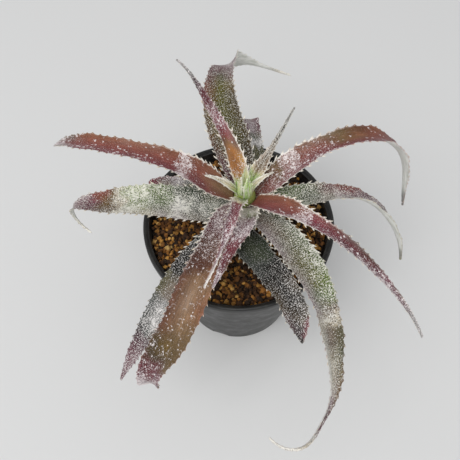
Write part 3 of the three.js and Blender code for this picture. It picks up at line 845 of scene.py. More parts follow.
@dataclass(frozen=True)
class Leaf:
    """One leaf: a midrib of changing slope and heading, a channelled blade that clasps the stem,
    and thorned margins. Angles are in degrees; slopes, bends, rolls and widths are given at equal
    stations from base to tip. Each band gives a place along the leaf, the tones there of the
    right margin, the middle and the left margin, or one tone for all three, and in the same way
    the share of the skin under scurf. The margin is cream at the base and takes the edge tone
    further out. A bare back has the skin's tone instead of the pale underside."""

    name: str
    kind: LeafKind
    azimuth: float
    height: float
    length: float
    slopes: tuple[float, ...]
    bends: tuple[float, ...]
    widths: tuple[float, ...]
    fold: float
    bands: tuple[Band, ...]
    rolls: tuple[float, ...] = (0.0, 0.0)
    start: float = 6.0
    edge: Tone = T.CREAM
    tear: float = 0.0
    bare_back: float = 0.0

    ROW_PITCH = 0.42
    COLUMNS = 21
    CURVE_STEPS = 120
    MID_THICKNESS = 1.25
    EDGE_THICKNESS = 0.75
    THINNING = 0.3
    WRAP_FROM = 8.0
    WRAP_TO = 26.0
    WRAP_STEEPEST = 75.0
    TEAR_REACH = 4.4
    CHANNEL_ROUNDNESS = 0.6
    CHANNEL_CENTRE = 0.5
    SHEATH = 4.0
    SHEATH_ROWS = 9
    TOOTH_PITCH = 3.9
    TOOTH_LEAN = 0.62
    TOOTH_HEIGHT = 1.2
    THORN_LENGTH = 1.7
    THORN_RADIUS = 0.42
    THORN_SIDES = 6
    THORN_LEAN = 40.0
    THORN_BEND = 0.4
    THORN_SINK = 0.3
    THORN_DROP = 0.28
    WAVE = 0.3
    OUTER_RIM = 0.2

    @property
    def seed(self) -> int:
        """Start of this leaf's random draws."""
        return int(self.azimuth * 7 + self.height * 13)

    def midrib(self, t: np.ndarray) -> np.ndarray:
        """Points of the midrib: the sum of short straight steps, each along the slope and the
        heading at its middle.

        Args:
            t: places from 0 at the base to 1 at the tip.

        Returns:
            One point for each place.
        """
        middle = (np.arange(self.CURVE_STEPS) + 0.5) / self.CURVE_STEPS
        slope = np.radians(station(self.slopes, middle))
        heading = np.radians(self.azimuth + station(self.bends, middle))
        step = np.stack([np.cos(slope) * np.cos(heading), np.cos(slope) * np.sin(heading),
                         np.sin(slope)], 1) * self.length / self.CURVE_STEPS
        line = np.vstack([np.zeros(3), np.cumsum(step, 0)])
        base = np.radians(self.azimuth)
        line += [STEM_X + self.start * np.cos(base), self.start * np.sin(base), self.height]
        x = np.clip(t, 0, 1) * self.CURVE_STEPS
        whole = np.arange(self.CURVE_STEPS + 1)
        return np.stack([np.interp(x, whole, line[:, k]) for k in range(3)], -1)

    def directions(self, t: np.ndarray) -> tuple[np.ndarray, np.ndarray, np.ndarray]:
        """Unit directions of the blade: level and rise are turned by the roll to give side and
        up, and ahead follows the midrib.

        Args:
            t: places along the leaf.

        Returns:
            Side, up and ahead for each place.
        """
        slope = np.radians(station(self.slopes, t))
        heading = np.radians(self.azimuth + station(self.bends, t))
        roll = np.radians(station(self.rolls, t))[:, None]
        level = np.stack([-np.sin(heading), np.cos(heading), 0 * heading], -1)
        rise = np.stack([-np.sin(slope) * np.cos(heading), -np.sin(slope) * np.sin(heading),
                         np.cos(slope)], -1)
        ahead = np.stack([np.cos(slope) * np.cos(heading), np.cos(slope) * np.sin(heading),
                          np.sin(slope)], -1)
        side = level * np.cos(roll) - rise * np.sin(roll)
        up = rise * np.cos(roll) + level * np.sin(roll)
        return side, up, ahead

    def half_width(self, t: np.ndarray) -> np.ndarray:
        """Half the blade's width without its teeth."""
        return np.maximum(station(self.widths, t), 1) / 2

    def face(self, t: np.ndarray, across: np.ndarray, reach: np.ndarray) -> np.ndarray:
        """Points of the upper face. Sideways distance d is the half width times across plus the
        reach beyond the margin. Near the stem the face is a cone round it, which rises by tan of
        the slope times the gain in distance from the stem's axis; further out it is a channel
        that rises with d times across to the power 0.6, and waves slightly at its margins.

        Args:
            t: places along the leaf, one for each row.
            across: from -1 at the right margin to 1 at the left, one for each column.
            reach: distance beyond the margin for each point.

        Returns:
            A grid of points.
        """
        origin = self.midrib(t)
        side, up, _ = self.directions(t)
        half = self.half_width(t)[:, None]
        u = np.abs(across)
        distance = half * u + reach
        along = (t * self.length)[:, None]
        free = smoothstep(self.WRAP_FROM, self.WRAP_TO, along)
        fold = np.radians(self.fold)
        flat = distance * (1 - free) + distance * np.cos(fold) * free
        channel = (distance * u ** self.CHANNEL_ROUNDNESS - self.CHANNEL_CENTRE * half) \
            * np.sin(fold) * free
        phase = self.seed + np.sign(across)
        wave = np.sin(along / 2.9 + phase) + 0.5 * np.sin(along / 1.55 + 2.1 * phase)
        channel = channel + self.WAVE * free * u ** 3 * wave * np.minimum(half / 5, 1)
        radius = np.hypot(origin[:, 0] - STEM_X, origin[:, 1])[:, None]
        slope = np.radians(np.minimum(station(self.slopes, t), self.WRAP_STEEPEST))[:, None]
        wrap = np.tan(slope) * (np.hypot(radius, flat) - radius) * (1 - free)
        points = (origin[:, None] + side[:, None] * (np.sign(across) * flat)[..., None]
                  + up[:, None] * channel[..., None])
        points[..., 2] += wrap
        return points

    def teeth(self, side: int) -> tuple[np.ndarray, np.ndarray]:
        """Marks along one margin where one tooth ends and the next begins, and the teeth's
        relative heights, both drawn at random round their mean.

        Args:
            side: -1 for the right margin, 1 for the left.

        Returns:
            Marks in millimetres from the base, and one height for each gap between them.
        """
        rng = np.random.default_rng([self.seed, side + 1])
        count = int(self.length / self.TOOTH_PITCH * 1.2) + 3
        gaps = self.TOOTH_PITCH * rng.uniform(0.72, 1.28, count)
        marks = np.concatenate([[-1.0], np.cumsum(gaps) - 1.0])
        return marks, rng.uniform(0.7, 1.2, count)

    def tooth_scale(self, along: np.ndarray) -> np.ndarray:
        """Size of the teeth: smaller towards the tip, on a narrow blade and next to the stem."""
        t = along / self.length
        width = np.clip(station(self.widths, t) / 6, 0.35, 1)
        return (1 - 0.5 * t) * width * smoothstep(2, 8, along)

    def margin_reach(self, along: np.ndarray, side: int) -> np.ndarray:
        """How far the margin stands out at a tooth: it rises with the power 2.8 of the way to
        the tooth's point and falls with the square of the way beyond it.

        Args:
            along: distances from the base.
            side: which margin.

        Returns:
            The reach in millimetres.
        """
        marks, heights = self.teeth(side)
        k = np.clip(np.searchsorted(marks, along, side="right") - 1, 0, len(heights) - 1)
        f = np.clip((along - marks[k]) / (marks[k + 1] - marks[k]), 0, 1)
        lean = self.TOOTH_LEAN
        rise = (np.minimum(f, lean) / lean) ** 2.8
        fall = (np.minimum(1 - f, 1 - lean) / (1 - lean)) ** 2
        return self.TOOTH_HEIGHT * heights[k] * np.minimum(rise, fall) * self.tooth_scale(along)

    def colours(self, t: np.ndarray, across: np.ndarray) -> tuple[np.ndarray, np.ndarray]:
        """Skin tone and scurf share: both are read between the bands at a place that sways by
        about 2 mm, and run from the middle to each margin with across to the power 1.1.

        Args:
            t: places along the leaf for each point.
            across: places across it for each point.

        Returns:
            Linear colours and scurf shares.
        """
        at = [b[0] for b in self.bands]
        sway = (1.5 * ripple(across * 5, t * self.length / 2.2, self.seed)
                + 0.7 * ripple(across * 13, t * self.length / 0.8, self.seed + 1)) / self.length
        place = np.clip(t + sway, 0, 1)
        table = np.array([[linear(tone.value)[:3] + (share,) for tone, share in zip(
            (b[1] * 3)[:3], np.broadcast_to(b[2], 3))] for b in self.bands])
        right, middle, left = (np.stack([np.interp(place, at, table[:, j, k]) for k in range(4)],
                                        -1) for j in range(3))
        share = (np.abs(across) ** 1.1)[..., None]
        edge = np.where(across[..., None] > 0, left, right)
        found = middle * (1 - share) + edge * share
        return np.concatenate([found[..., :3], np.ones(found.shape[:-1] + (1,))], -1), found[..., 3]

    def margin(self, t: np.ndarray) -> tuple[np.ndarray, np.ndarray]:
        """How strongly the margin's own tone shows and which it is: both pass from their base
        values to the outer ones between a quarter and half of the leaf's length.

        Args:
            t: places along the leaf for each point.

        Returns:
            Shares and linear colours.
        """
        near = 1 - smoothstep(0.25, 0.5, t)
        strength = self.kind.value.rim * near + self.OUTER_RIM * (1 - near)
        cream, outer = np.array(linear(T.CREAM.value)), np.array(linear(self.edge.value))
        return strength, cream * near[..., None] + outer * (1 - near[..., None])

    def sheath(self, row: np.ndarray, across: np.ndarray) -> tuple[np.ndarray, np.ndarray]:
        """Rows behind the blade's first row that close round the stem. At depth a below the base
        each point moves from the first row, lowered by a, towards a cylinder on the stem's axis
        whose arc carries the sideways distance.

        Args:
            row: the blade's first row of points.
            across: places across, one for each column.

        Returns:
            Points and the direction in which the leaf's thickness is laid off.
        """
        depth = np.linspace(self.SHEATH, 0, self.SHEATH_ROWS, endpoint=False)[:, None]
        share = smoothstep(0, self.SHEATH, depth)
        radius = np.maximum(self.start - 0.9 * share, 0.5)
        flat = self.half_width(np.zeros(1)) * across
        angle = np.radians(self.azimuth) + np.clip(flat[None] / radius, -2.4, 2.4)
        tube = np.stack([STEM_X + radius * np.cos(angle), radius * np.sin(angle),
                         self.height - depth + 0 * angle], -1)
        low = row[None] - np.array([0, 0, 1.0]) * depth[..., None]
        points = low * (1 - share)[..., None] + tube * share[..., None]
        _, up, _ = self.directions(np.zeros(1))
        inward = -np.stack([np.cos(angle), np.sin(angle), 0 * angle], -1)
        normal = up[None] * (1 - share)[..., None] + inward * share[..., None]
        return points, normal / np.linalg.norm(normal, axis=-1, keepdims=True)

    def blade(self) -> Shape:
        """The blade as rings of points: the upper face from margin to margin and the lower face
        back, below the upper by the thickness times the root of 1 minus across to the power 4,
        closed at the stem and at a short fan of a tip.

        Returns:
            The closed body with its blade place, skin, edge, scurf, rim and underside values.
        """
        t = np.linspace(0, 1, int(self.length / self.ROW_PITCH) + 2)
        across = np.sin(np.pi / 2 * np.linspace(-1, 1, self.COLUMNS))
        along = t * self.length
        near = np.clip((np.abs(across) - 0.72) / 0.28, 0, 1) ** 1.5
        out = np.where(across > 0, self.margin_reach(along, 1)[:, None],
                       self.margin_reach(along, -1)[:, None]) * near
        _, up, ahead = self.directions(t)
        end = np.clip((along - self.length) / self.TEAR_REACH + 1, 0, 1)[:, None] ** 2
        torn = self.tear * (np.abs(across) - 0.5) * end
        top = self.face(t, across, out) + ahead[:, None] * torn[..., None]
        low, low_normal = self.sheath(top[0], across)
        top = np.concatenate([low, top])
        normal = np.concatenate([low_normal, np.repeat(up[:, None], self.COLUMNS, 1)])
        rows_t = np.concatenate([np.zeros(self.SHEATH_ROWS), t])
        u = np.abs(across)
        taper = 1 - self.THINNING * rows_t[:, None]
        thick = np.maximum(self.EDGE_THICKNESS * u + self.MID_THICKNESS * taper * (1 - u),
                           self.EDGE_THICKNESS) * np.sqrt(1 - u ** 4)
        bottom = top - normal * thick[..., None]
        ring = np.concatenate([top, bottom[:, -2:0:-1]], 1)
        rows, columns = ring.shape[:2]
        tip = top[-1].mean(0) + ahead[-1] * min(1.0, 0.35 * self.widths[-1] + 0.4)
        tip = tip - up[-1] * 0.3
        root = ring[0].mean(0)
        points = np.vstack([ring.reshape(-1, 3), root, tip])
        both = np.concatenate([across, across[-2:0:-1]])
        grid_t = np.repeat(rows_t[:, None], columns, 1)
        grid_u = np.repeat(both[None], rows, 0)
        behind = np.concatenate([-np.linspace(self.SHEATH, 0, self.SHEATH_ROWS, endpoint=False),
                                 along])
        skin, scurf = self.colours(grid_t, grid_u)
        half = self.half_width(rows_t)[:, None]
        inset = half * (1 - np.abs(grid_u))
        strength, edge = self.margin(grid_t)
        width = np.minimum(0.35 + 0.45 * strength, 0.2 * half + 0.2)
        rim = strength * (1 - smoothstep(0.55, 1.0, inset / width))
        lower = np.arange(columns) >= self.COLUMNS
        pale = ((1 - self.bare_back) * (1 - 0.75 * smoothstep(0.86, 0.95, grid_t))
                * smoothstep(-self.SHEATH, 7, behind)[:, None])
        under = np.where(lower[None], pale, 0.0)
        place = np.stack([grid_u * half + 97.0 * (self.seed % 11), np.repeat(behind[:, None],
                          columns, 1) + 53.0 * (self.seed % 7), 0 * grid_u], -1)
        values = {"blade": place.reshape(-1, 3), "skin": skin.reshape(-1, 4),
                  "edge": edge.reshape(-1, 4), "scurf": scurf.ravel(), "rim": rim.ravel(),
                  "under": under.ravel()}
        ends = {k: np.concatenate([v, v[:1], v[-1:]]) for k, v in values.items()}
        return Shape(points, tube_triangles(rows, columns), ends).outward()

    def thorns(self) -> Shape:
        """Curved thorns, one on the point of each tooth: rings of six points carried along a
        path that leaves the margin and bends ahead with the square of the way, each ring
        narrower than the last.

        Returns:
            The closed bodies, with the same values as the blade.
        """
        spots = []
        for side in (-1, 1):
            marks, heights = self.teeth(side)
            along = marks[:-1] + self.TOOTH_LEAN * np.diff(marks)
            keep = (along > 4) & (along < self.length - 1.2)
            spots.append(np.stack([along[keep], np.full(keep.sum(), side), heights[keep]], 1))
        along, side, height = np.concatenate(spots).T
        t = along / self.length
        scale = self.tooth_scale(along) * height
        u = side[:, None]
        root = self.face(t, np.ones(1), 0.5 * self.TOOTH_HEIGHT * scale[:, None])[:, 0]
        other = self.face(t, -np.ones(1), 0.5 * self.TOOTH_HEIGHT * scale[:, None])[:, 0]
        root = np.where(u > 0, root, other)
        sideways, up, ahead = self.directions(t)
        fold = np.radians(self.fold) * smoothstep(self.WRAP_FROM, self.WRAP_TO, along)[:, None]
        outward = sideways * u * np.cos(fold) + up * np.sin(fold)
        lean = np.radians(self.THORN_LEAN)
        aim = outward * np.cos(lean) + ahead * np.sin(lean)
        length = self.THORN_LENGTH * np.clip(scale, 0.45, 1.2)
        root = root - up * self.THORN_DROP - aim * self.THORN_SINK
        way = np.array([0, 0.4, 0.75])
        path = (root[:, None] + aim[:, None] * (way * length[:, None])[..., None]
                + ahead[:, None] * (self.THORN_BEND * way ** 2 * length[:, None])[..., None])
        tip = root + aim * length[:, None] + ahead * self.THORN_BEND * length[:, None]
        cross = np.cross(aim, up)
        cross /= np.linalg.norm(cross, axis=1, keepdims=True)
        sides = self.THORN_SIDES
        angle = np.arange(sides) * 2 * np.pi / sides
        size = self.THORN_RADIUS * np.array([1, 0.72, 0.42]) * np.clip(scale, 0.5, 1)[:, None]
        circle = (cross[:, None, None] * (1.25 * np.cos(angle))[:, None]
                  + up[:, None, None] * (0.85 * np.sin(angle))[:, None])
        rings = path[:, :, None] + circle * size[:, :, None, None]
        n, rows = len(t), len(way)
        each = rows * sides + 2
        rings = rings.reshape(n, rows * sides, 3)
        points = np.concatenate([rings, root[:, None], tip[:, None]], 1)
        one = tube_triangles(rows, sides)
        faces = (one[None] + each * np.arange(n)[:, None, None]).reshape(-1, 3)
        skin = np.tile(linear(T.THORN.value), (each * n, 1))
        _, edge = self.margin(t)
        fade = np.concatenate([np.repeat([0.9, 0.7, 0.4], sides), [0.9, 0.2]])
        values = {"blade": np.repeat(np.stack([0 * t, along, 0 * t], 1), each, 0), "skin": skin,
                  "edge": np.repeat(edge, each, 0), "scurf": np.zeros(each * n),
                  "rim": np.tile(fade, n), "under": np.zeros(each * n)}
        return Shape(points.reshape(-1, 3), faces, values).outward()

    def build(self, material: bpy.types.Material) -> None:
        """Makes the leaf, which stands for its solid.

        Args:
            material: the finish of its kind.
        """
        shape = self.blade().joined(self.thorns())
        shape.piece(self.name + "_blade", material, self.kind.value.slot, (self.name,), 60.0)


# The stations of the 16 larger leaves come from least-squares fits to margin points read off the
# photograph, rounded and in part changed. Those of the five small inner leaves are set one by one.
# Each band's tones are picked from the tones above, and were adjusted in rounds against a printout
# of mean colours of the photograph and of the render at places along the leaf.
LEAVES: tuple[Leaf, ...] = (
    Leaf("leaf_front_dark", LeafKind.GREY, 277, 90, 73,
         (15, 17, 10, -5, -25, -44), (0, 16, 27, 23, 14, 0),
         (9, 16.7, 15.4, 15.5, 13.9, 11.8, 1.5), 16, (
            (0.0, (T.CHARCOAL,), 0.06), (0.18, (T.CHARCOAL, T.GREY_GREEN, T.DARK_GREEN), 0.1),
            (0.25, (T.SLATE, T.GREY_GREEN, T.DARK_GREEN), 0.14),
            (0.29, (T.SLATE, T.GREY_GREEN, T.DARK_GREEN), 0.14),
            (0.37, (T.SLATE, T.SLATE, T.CHARCOAL), 0.14),
            (0.42, (T.SLATE, T.CHARCOAL, T.CHARCOAL), (0.3, 0.26, 0.24)),
            (0.5, (T.CHARCOAL,), (0.3, 0.26, 0.36)),
            (0.6, (T.UMBER, T.CHARCOAL, T.UMBER), (0.34, 0.36, 0.46)),
            (0.72, (T.UMBER, T.CHARCOAL, T.CHARCOAL), (0.4, 0.32, 0.4)),
            (0.84, (T.PURPLE, T.UMBER, T.UMBER), (0.44, 0.42, 0.5)),
            (0.89, (T.PURPLE, T.CHARCOAL, T.CRIMSON), 0.4),
            (0.95, (T.CHARCOAL, T.PURPLE, T.CRIMSON), 0.36), (1.0, (T.CHARCOAL,), 0.2))),
    Leaf("leaf_left_old", LeafKind.GREY, 161, 97, 50,
         (28, 21, 12, 3, -9, -17), (0, 0), (9, 11, 12, 12, 12, 8.7, 3), 16, (
            (0.0, (T.TAUPE, T.TAUPE, T.SLATE), (0.6, 0.5, 0.35)),
            (0.3, (T.TAUPE, T.DARK_GREEN, T.DARK_GREEN), (0.6, 0.22, 0.25)),
            (0.42, (T.TAUPE, T.DARK_GREEN, T.DARK_GREEN), (0.5, 0.14, 0.14)),
            (0.52, (T.GREY_GREEN, T.OLIVE, T.GREY_GREEN), (0.4, 0.24, 0.3)),
            (0.6, (T.GREY, T.TAUPE, T.GREY), (0.4, 0.44, 0.76)),
            (0.7, (T.LILAC, T.GREY, T.GREY), (0.72, 0.62, 0.74)),
            (0.8, (T.MAUVE, T.TAUPE, T.GREY), 0.48), (0.88, (T.MAUVE, T.TAUPE, T.TAUPE), 0.45),
            (0.94, (T.CRIMSON,), 0.35), (1.0, (T.CRIMSON,), 0.2))),
    Leaf("leaf_front_grey", LeafKind.GREY, 232, 99.5, 112,
         (22, 6, -12, -31, -43, -54), (0, 0, -1, 2, -3, -2),
         (9, 15, 16.2, 13.9, 11.5, 7.2, 1), 18, (
            (0.0, (T.CHARCOAL,), 0.32), (0.3, (T.CHARCOAL, T.CHARCOAL, T.SLATE), 0.36),
            (0.4, (T.CHARCOAL, T.CHARCOAL, T.SLATE), 0.3),
            (0.45, (T.OLIVE, T.TAUPE, T.GREY_GREEN), 0.14),
            (0.51, (T.OLIVE, T.TAUPE, T.GREY_GREEN), 0.2),
            (0.56, (T.SLATE, T.GREY, T.SLATE), (0.26, 0.44, 0.34)),
            (0.61, (T.SLATE, T.GREY, T.GREY), (0.36, 0.7, 0.66)),
            (0.665, (T.SLATE, T.GREY, T.GREY), (0.5, 0.74, 0.7)),
            (0.7, (T.CHARCOAL, T.SLATE, T.TAUPE), 0.5), (0.75, (T.PURPLE,), 0.44),
            (0.83, (T.MAUVE,), (0.44, 0.4, 0.5)), (0.92, (T.LILAC, T.MAUVE, T.LILAC), 0.48),
            (1.0, (T.MAUVE,), 0.5)), edge=T.GREY),
    Leaf("leaf_back_old", LeafKind.GREY, 71, 101.5, 52,
         (23, 15, 7, 2, 0, -4), (0, 1, 13, 26, 27, 26),
         (8, 9.5, 8.9, 7.9, 7.5, 8.6, 9), 18, (
            (0.0, (T.DARK_GREEN, T.CHARCOAL, T.DARK_GREEN), 0.2),
            (0.5, (T.DARK_GREEN, T.OLIVE, T.OLIVE), 0.2), (0.61, (T.OLIVE,), 0.16),
            (0.65, (T.GREY_GREEN, T.GREY, T.GREY_GREEN), 0.5), (0.68, (T.GREY,), 0.78),
            (0.73, (T.GREY,), 0.7), (0.78, (T.TAUPE, T.GREY_GREEN, T.TAUPE), 0.36),
            (0.88, (T.MAUVE, T.LILAC, T.MAUVE), 0.42),
            (1.0, (T.MAUVE, T.LILAC, T.MAUVE), 0.48)), tear=3.6),
    Leaf("leaf_left_green", LeafKind.GREEN, 184, 103.5, 118,
         (14, 14, 7.5, -8, -22, -85, -142), (0, -2, -5.5, -4.5, -16, -26, -28),
         (9, 19.3, 20.6, 19.4, 16.3, 11.8, 6, 1.8, 1), 18, (
            (0.0, (T.SLATE, T.GREY_GREEN, T.SLATE), 0.5),
            (0.1, (T.OLIVE, T.GREY_GREEN, T.SLATE), (0.36, 0.66, 0.4)),
            (0.17, (T.DARK_GREEN, T.SLATE, T.TAUPE), (0.36, 0.66, 0.46)),
            (0.2, (T.DARK_GREEN, T.GREY_GREEN, T.TAUPE), (0.34, 0.8, 0.54)),
            (0.25, (T.GREY_GREEN, T.GREY, T.LILAC), (0.46, 0.86, 0.68)),
            (0.285, (T.GREEN, T.GREEN, T.TAUPE), (0.5, 0.6, 0.66)),
            (0.32, (T.LEAF_GREEN, T.GREEN, T.LILAC), (0.6, 0.46, 0.6)),
            (0.37, (T.LEAF_GREEN, T.GREEN, T.BEIGE), (0.62, 0.56, 0.6)),
            (0.41, (T.PALE_GREEN, T.LEAF_GREEN, T.BEIGE), (0.7, 0.74, 0.62)),
            (0.47, (T.PALE_GREEN, T.LEAF_GREEN, T.TAUPE), (0.66, 0.62, 0.76)),
            (0.51, (T.BEIGE,), (0.6, 0.66, 0.7)),
            (0.54, (T.OLIVE_BROWN, T.OLIVE_BROWN, T.TAUPE), (0.25, 0.25, 0.5)),
            (0.585, (T.BRICK, T.OLIVE_BROWN, T.TAUPE), (0.08, 0.1, 0.4)),
            (0.63, (T.BRICK, T.MAUVE, T.MAUVE), (0.16, 0.12, 0.34)),
            (0.68, (T.LILAC, T.MAUVE, T.MAUVE), (0.6, 0.24, 0.35)),
            (0.73, (T.LILAC, T.MAUVE, T.LILAC), (0.56, 0.4, 0.5)), (0.8, (T.LILAC,), 0.5),
            (0.86, (T.BEIGE,), 0.4), (1.0, (T.CREAM,), 0.2)), edge=T.BEIGE),
    Leaf("leaf_right_green", LeafKind.GREEN, 0, 105.5, 114,
         (36, 18, -2, -38, -62, -78), (0, -3, 1, -21, -31, -42),
         (9, 13.3, 14.4, 12.1, 9.6, 6, 1), 20, (
            (0.0, (T.GREY_GREEN, T.GREEN, T.GREY_GREEN), 0.36),
            (0.14, (T.GREEN, T.LEAF_GREEN, T.GREEN), (0.5, 0.6, 0.34)),
            (0.25, (T.GREEN, T.GREY_GREEN, T.GREEN), (0.52, 0.52, 0.46)),
            (0.3, (T.TAUPE, T.GREY_GREEN, T.TAUPE), (0.56, 0.46, 0.5)),
            (0.35, (T.TAUPE, T.TAUPE, T.MAUVE), (0.66, 0.6, 0.3)),
            (0.39, (T.LILAC, T.LILAC, T.BRICK), (0.7, 0.72, 0.16)),
            (0.45, (T.LILAC, T.MAUVE, T.BRICK), (0.62, 0.5, 0.3)),
            (0.52, (T.LILAC, T.LILAC, T.MAUVE), (0.58, 0.46, 0.3)),
            (0.6, (T.GREY, T.GREY, T.LILAC), 0.5), (0.9, (T.SLATE,), 0.3),
            (0.95, (T.CHARCOAL,), 0.2), (1.0, (T.MOSS,), 0.1)),
         rolls=(0, 0, 25, 41, 44, 45), edge=T.BEIGE),
    Leaf("leaf_right_long", LeafKind.GREEN, 308, 107.5, 170,
         (35, 11, -13, -31, -59, -30), (0, -4, -8, -12, -22, -31, -37, -66, -77, -140, -183),
         (9, 13.6, 16.3, 17.3, 14.3, 14.1, 10.4, 2.4, 1.9, 1.4, 1), 20, (
            (0.0, (T.TAUPE, T.TAUPE, T.GREY_GREEN), 0.34),
            (0.12, (T.LILAC, T.TAUPE, T.GREY_GREEN), (0.36, 0.34, 0.5)),
            (0.2, (T.LILAC, T.OLIVE, T.GREEN), (0.46, 0.42, 0.7)),
            (0.27, (T.TAUPE, T.MOSS, T.GREEN), (0.5, 0.42, 0.66)),
            (0.33, (T.LILAC, T.MOSS, T.LEAF_GREEN), (0.56, 0.42, 0.5)),
            (0.38, (T.LILAC, T.GREEN, T.LEAF_GREEN), (0.54, 0.46, 0.5)),
            (0.42, (T.LILAC, T.TAUPE, T.TAUPE), (0.52, 0.54, 0.5)),
            (0.455, (T.BEIGE,), (0.6, 0.62, 0.5)),
            (0.472, (T.BEIGE, T.TAUPE, T.OLIVE), (0.66, 0.16, 0.06)),
            (0.51, (T.CREAM, T.TAUPE, T.OLIVE), (0.66, 0.24, 0.1)),
            (0.54, (T.CREAM, T.BEIGE, T.GREY_GREEN), (0.66, 0.4, 0.26)),
            (0.6, (T.CREAM, T.BEIGE, T.OLIVE_BROWN), (0.66, 0.6, 0.32)),
            (0.67, (T.LILAC, T.LILAC, T.OLIVE_BROWN), (0.55, 0.46, 0.35)),
            (0.72, (T.PURPLE,), 0.28), (0.76, (T.MAUVE,), 0.4), (0.8, (T.GREY,), 0.6),
            (0.84, (T.BEIGE,), 0.4), (0.9, (T.CREAM,), 0.2), (1.0, (T.CREAM,), 0.1)),
         rolls=(0, 1, 23, 48, 48, 40), edge=T.LILAC),
    Leaf("leaf_back_green", LeafKind.GREEN, 99, 109.5, 145,
         (37, 18, 2, -27, -37, -16), (0, 10, -7, -28, -75, -109),
         (9, 20.3, 19.1, 14.6, 12, 3.2, 1), 18, (
            (0.0, (T.CHARCOAL, T.UMBER, T.MAUVE), 0.2),
            (0.1, (T.UMBER, T.UMBER, T.MAUVE), (0.24, 0.24, 0.36)),
            (0.2, (T.UMBER, T.MOSS, T.COCOA), (0.26, 0.26, 0.4)),
            (0.3, (T.UMBER, T.MOSS, T.OLIVE_BROWN), (0.26, 0.24, 0.4)),
            (0.38, (T.UMBER, T.MOSS, T.BRICK), (0.32, 0.18, 0.36)),
            (0.44, (T.OLIVE_BROWN, T.MOSS, T.BRICK), (0.3, 0.18, 0.3)),
            (0.5, (T.MAUVE, T.OLIVE, T.MAUVE), (0.4, 0.28, 0.36)),
            (0.56, (T.LILAC, T.MAUVE, T.MAUVE), (0.48, 0.3, 0.36)),
            (0.62, (T.LILAC, T.LILAC, T.MAUVE), (0.55, 0.4, 0.36)), (0.67, (T.LILAC,), 0.5),
            (0.88, (T.SLATE,), 0.3), (0.94, (T.BEIGE,), 0.2), (1.0, (T.CREAM,), 0.1)),
         rolls=(0, 5, 8, 5, 2, 8, 26, 88, 92, 92, 90)),
    Leaf("leaf_front_brown", LeafKind.BROWN, 229, 111, 121,
         (41, 24, 11, 1, -18, -41, -44, -50, -111), (0, 22, 25, 19, 18, 9, -7, 2, 37),
         (9, 13.1, 14.7, 15.4, 16.5, 16.6, 17, 13, 10.4), 16, (
            (0.0, (T.WINE, T.CRIMSON, T.CRIMSON), 0.5),
            (0.12, (T.WINE, T.WINE, T.CRIMSON), (0.55, 0.52, 0.45)),
            (0.2, (T.WINE,), (0.42, 0.46, 0.52)),
            (0.27, (T.SEAL, T.COCOA, T.BRICK), (0.32, 0.38, 0.42)),
            (0.33, (T.SEAL, T.COCOA, T.COCOA), (0.24, 0.28, 0.3)),
            (0.39, (T.SEAL, T.COCOA, T.RUST), 0.15), (0.45, (T.COCOA, T.TAN, T.TAN), 0.12),
            (0.55, (T.COCOA, T.TAN, T.RUST), 0.1), (0.63, (T.COCOA, T.TAN, T.OLIVE_BROWN), 0.1),
            (0.69, (T.COCOA, T.OLIVE_BROWN, T.OLIVE_BROWN), 0.12),
            (0.75, (T.UMBER, T.BRONZE, T.OLIVE_BROWN), 0.16),
            (0.81, (T.UMBER, T.UMBER, T.OLIVE_BROWN), 0.2),
            (0.86, (T.WINE, T.WINE, T.MAUVE), 0.26),
            (0.92, (T.MAUVE, T.WINE, T.MAUVE), (0.5, 0.3, 0.36)),
            (0.96, (T.LILAC, T.MAUVE, T.MAUVE), (0.66, 0.46, 0.5)),
            (1.0, (T.GREY, T.LILAC, T.LILAC), (0.88, 0.72, 0.64))), edge=T.PINK),
    Leaf("leaf_upper_red", LeafKind.RED, 20, 112, 144,
         (55, 36, 3, -47, -77, -76), (0, -1, -6, -14, -40, -51),
         (9, 15.6, 11.1, 11.6, 9, 5.6, 1), 20, (
            (0.0, (T.MAUVE, T.BRICK, T.TAUPE), 0.3),
            (0.08, (T.BRICK, T.BRICK, T.OLIVE_BROWN), (0.36, 0.34, 0.2)),
            (0.13, (T.CRIMSON, T.OLIVE_BROWN, T.OLIVE_BROWN), (0.4, 0.38, 0.22)),
            (0.16, (T.CRIMSON, T.BRICK, T.OLIVE_BROWN), (0.46, 0.46, 0.5)),
            (0.18, (T.CRIMSON, T.BRICK, T.RUST), (0.42, 0.56, 0.72)),
            (0.205, (T.CRIMSON, T.BRICK, T.RUST), (0.42, 0.56, 0.68)),
            (0.225, (T.CRIMSON, T.BRICK, T.RUST), (0.36, 0.32, 0.3)),
            (0.32, (T.CRIMSON, T.BRICK, T.OLIVE_BROWN), (0.36, 0.28, 0.12)),
            (0.37, (T.CRIMSON, T.OLIVE_BROWN, T.OLIVE_BROWN), (0.25, 0.08, 0.04)),
            (0.46, (T.CRIMSON, T.RUST, T.COCOA), (0.3, 0.06, 0.04)),
            (0.52, (T.CRIMSON, T.BRICK, T.RUST), (0.42, 0.12, 0.06)),
            (0.6, (T.CRIMSON, T.BRICK, T.BRICK), (0.5, 0.25, 0.1)),
            (0.66, (T.LILAC, T.MAUVE, T.MAUVE), 0.4), (0.85, (T.SLATE,), 0.3),
            (0.92, (T.CHARCOAL,), 0.2), (1.0, (T.CHARCOAL,), 0.2)),
         rolls=(0, 3, 1, 24, 38, 40), edge=T.PINK),
    Leaf("leaf_front_red", LeafKind.RED, 277, 113.5, 61,
         (51, 42, 24, 2, -9, -15), (0, -6, -26, -33, -31, -35),
         (8, 9.5, 9.3, 8.5, 5.6, 3.8, 1), 20, (
            (0.0, (T.CREAM, T.PALE_GREEN, T.BEIGE), 0.5),
            (0.1, (T.CREAM, T.PALE_GREEN, T.BEIGE), 0.66),
            (0.2, (T.BEIGE, T.PALE_GREEN, T.BEIGE), (0.8, 0.5, 0.55)),
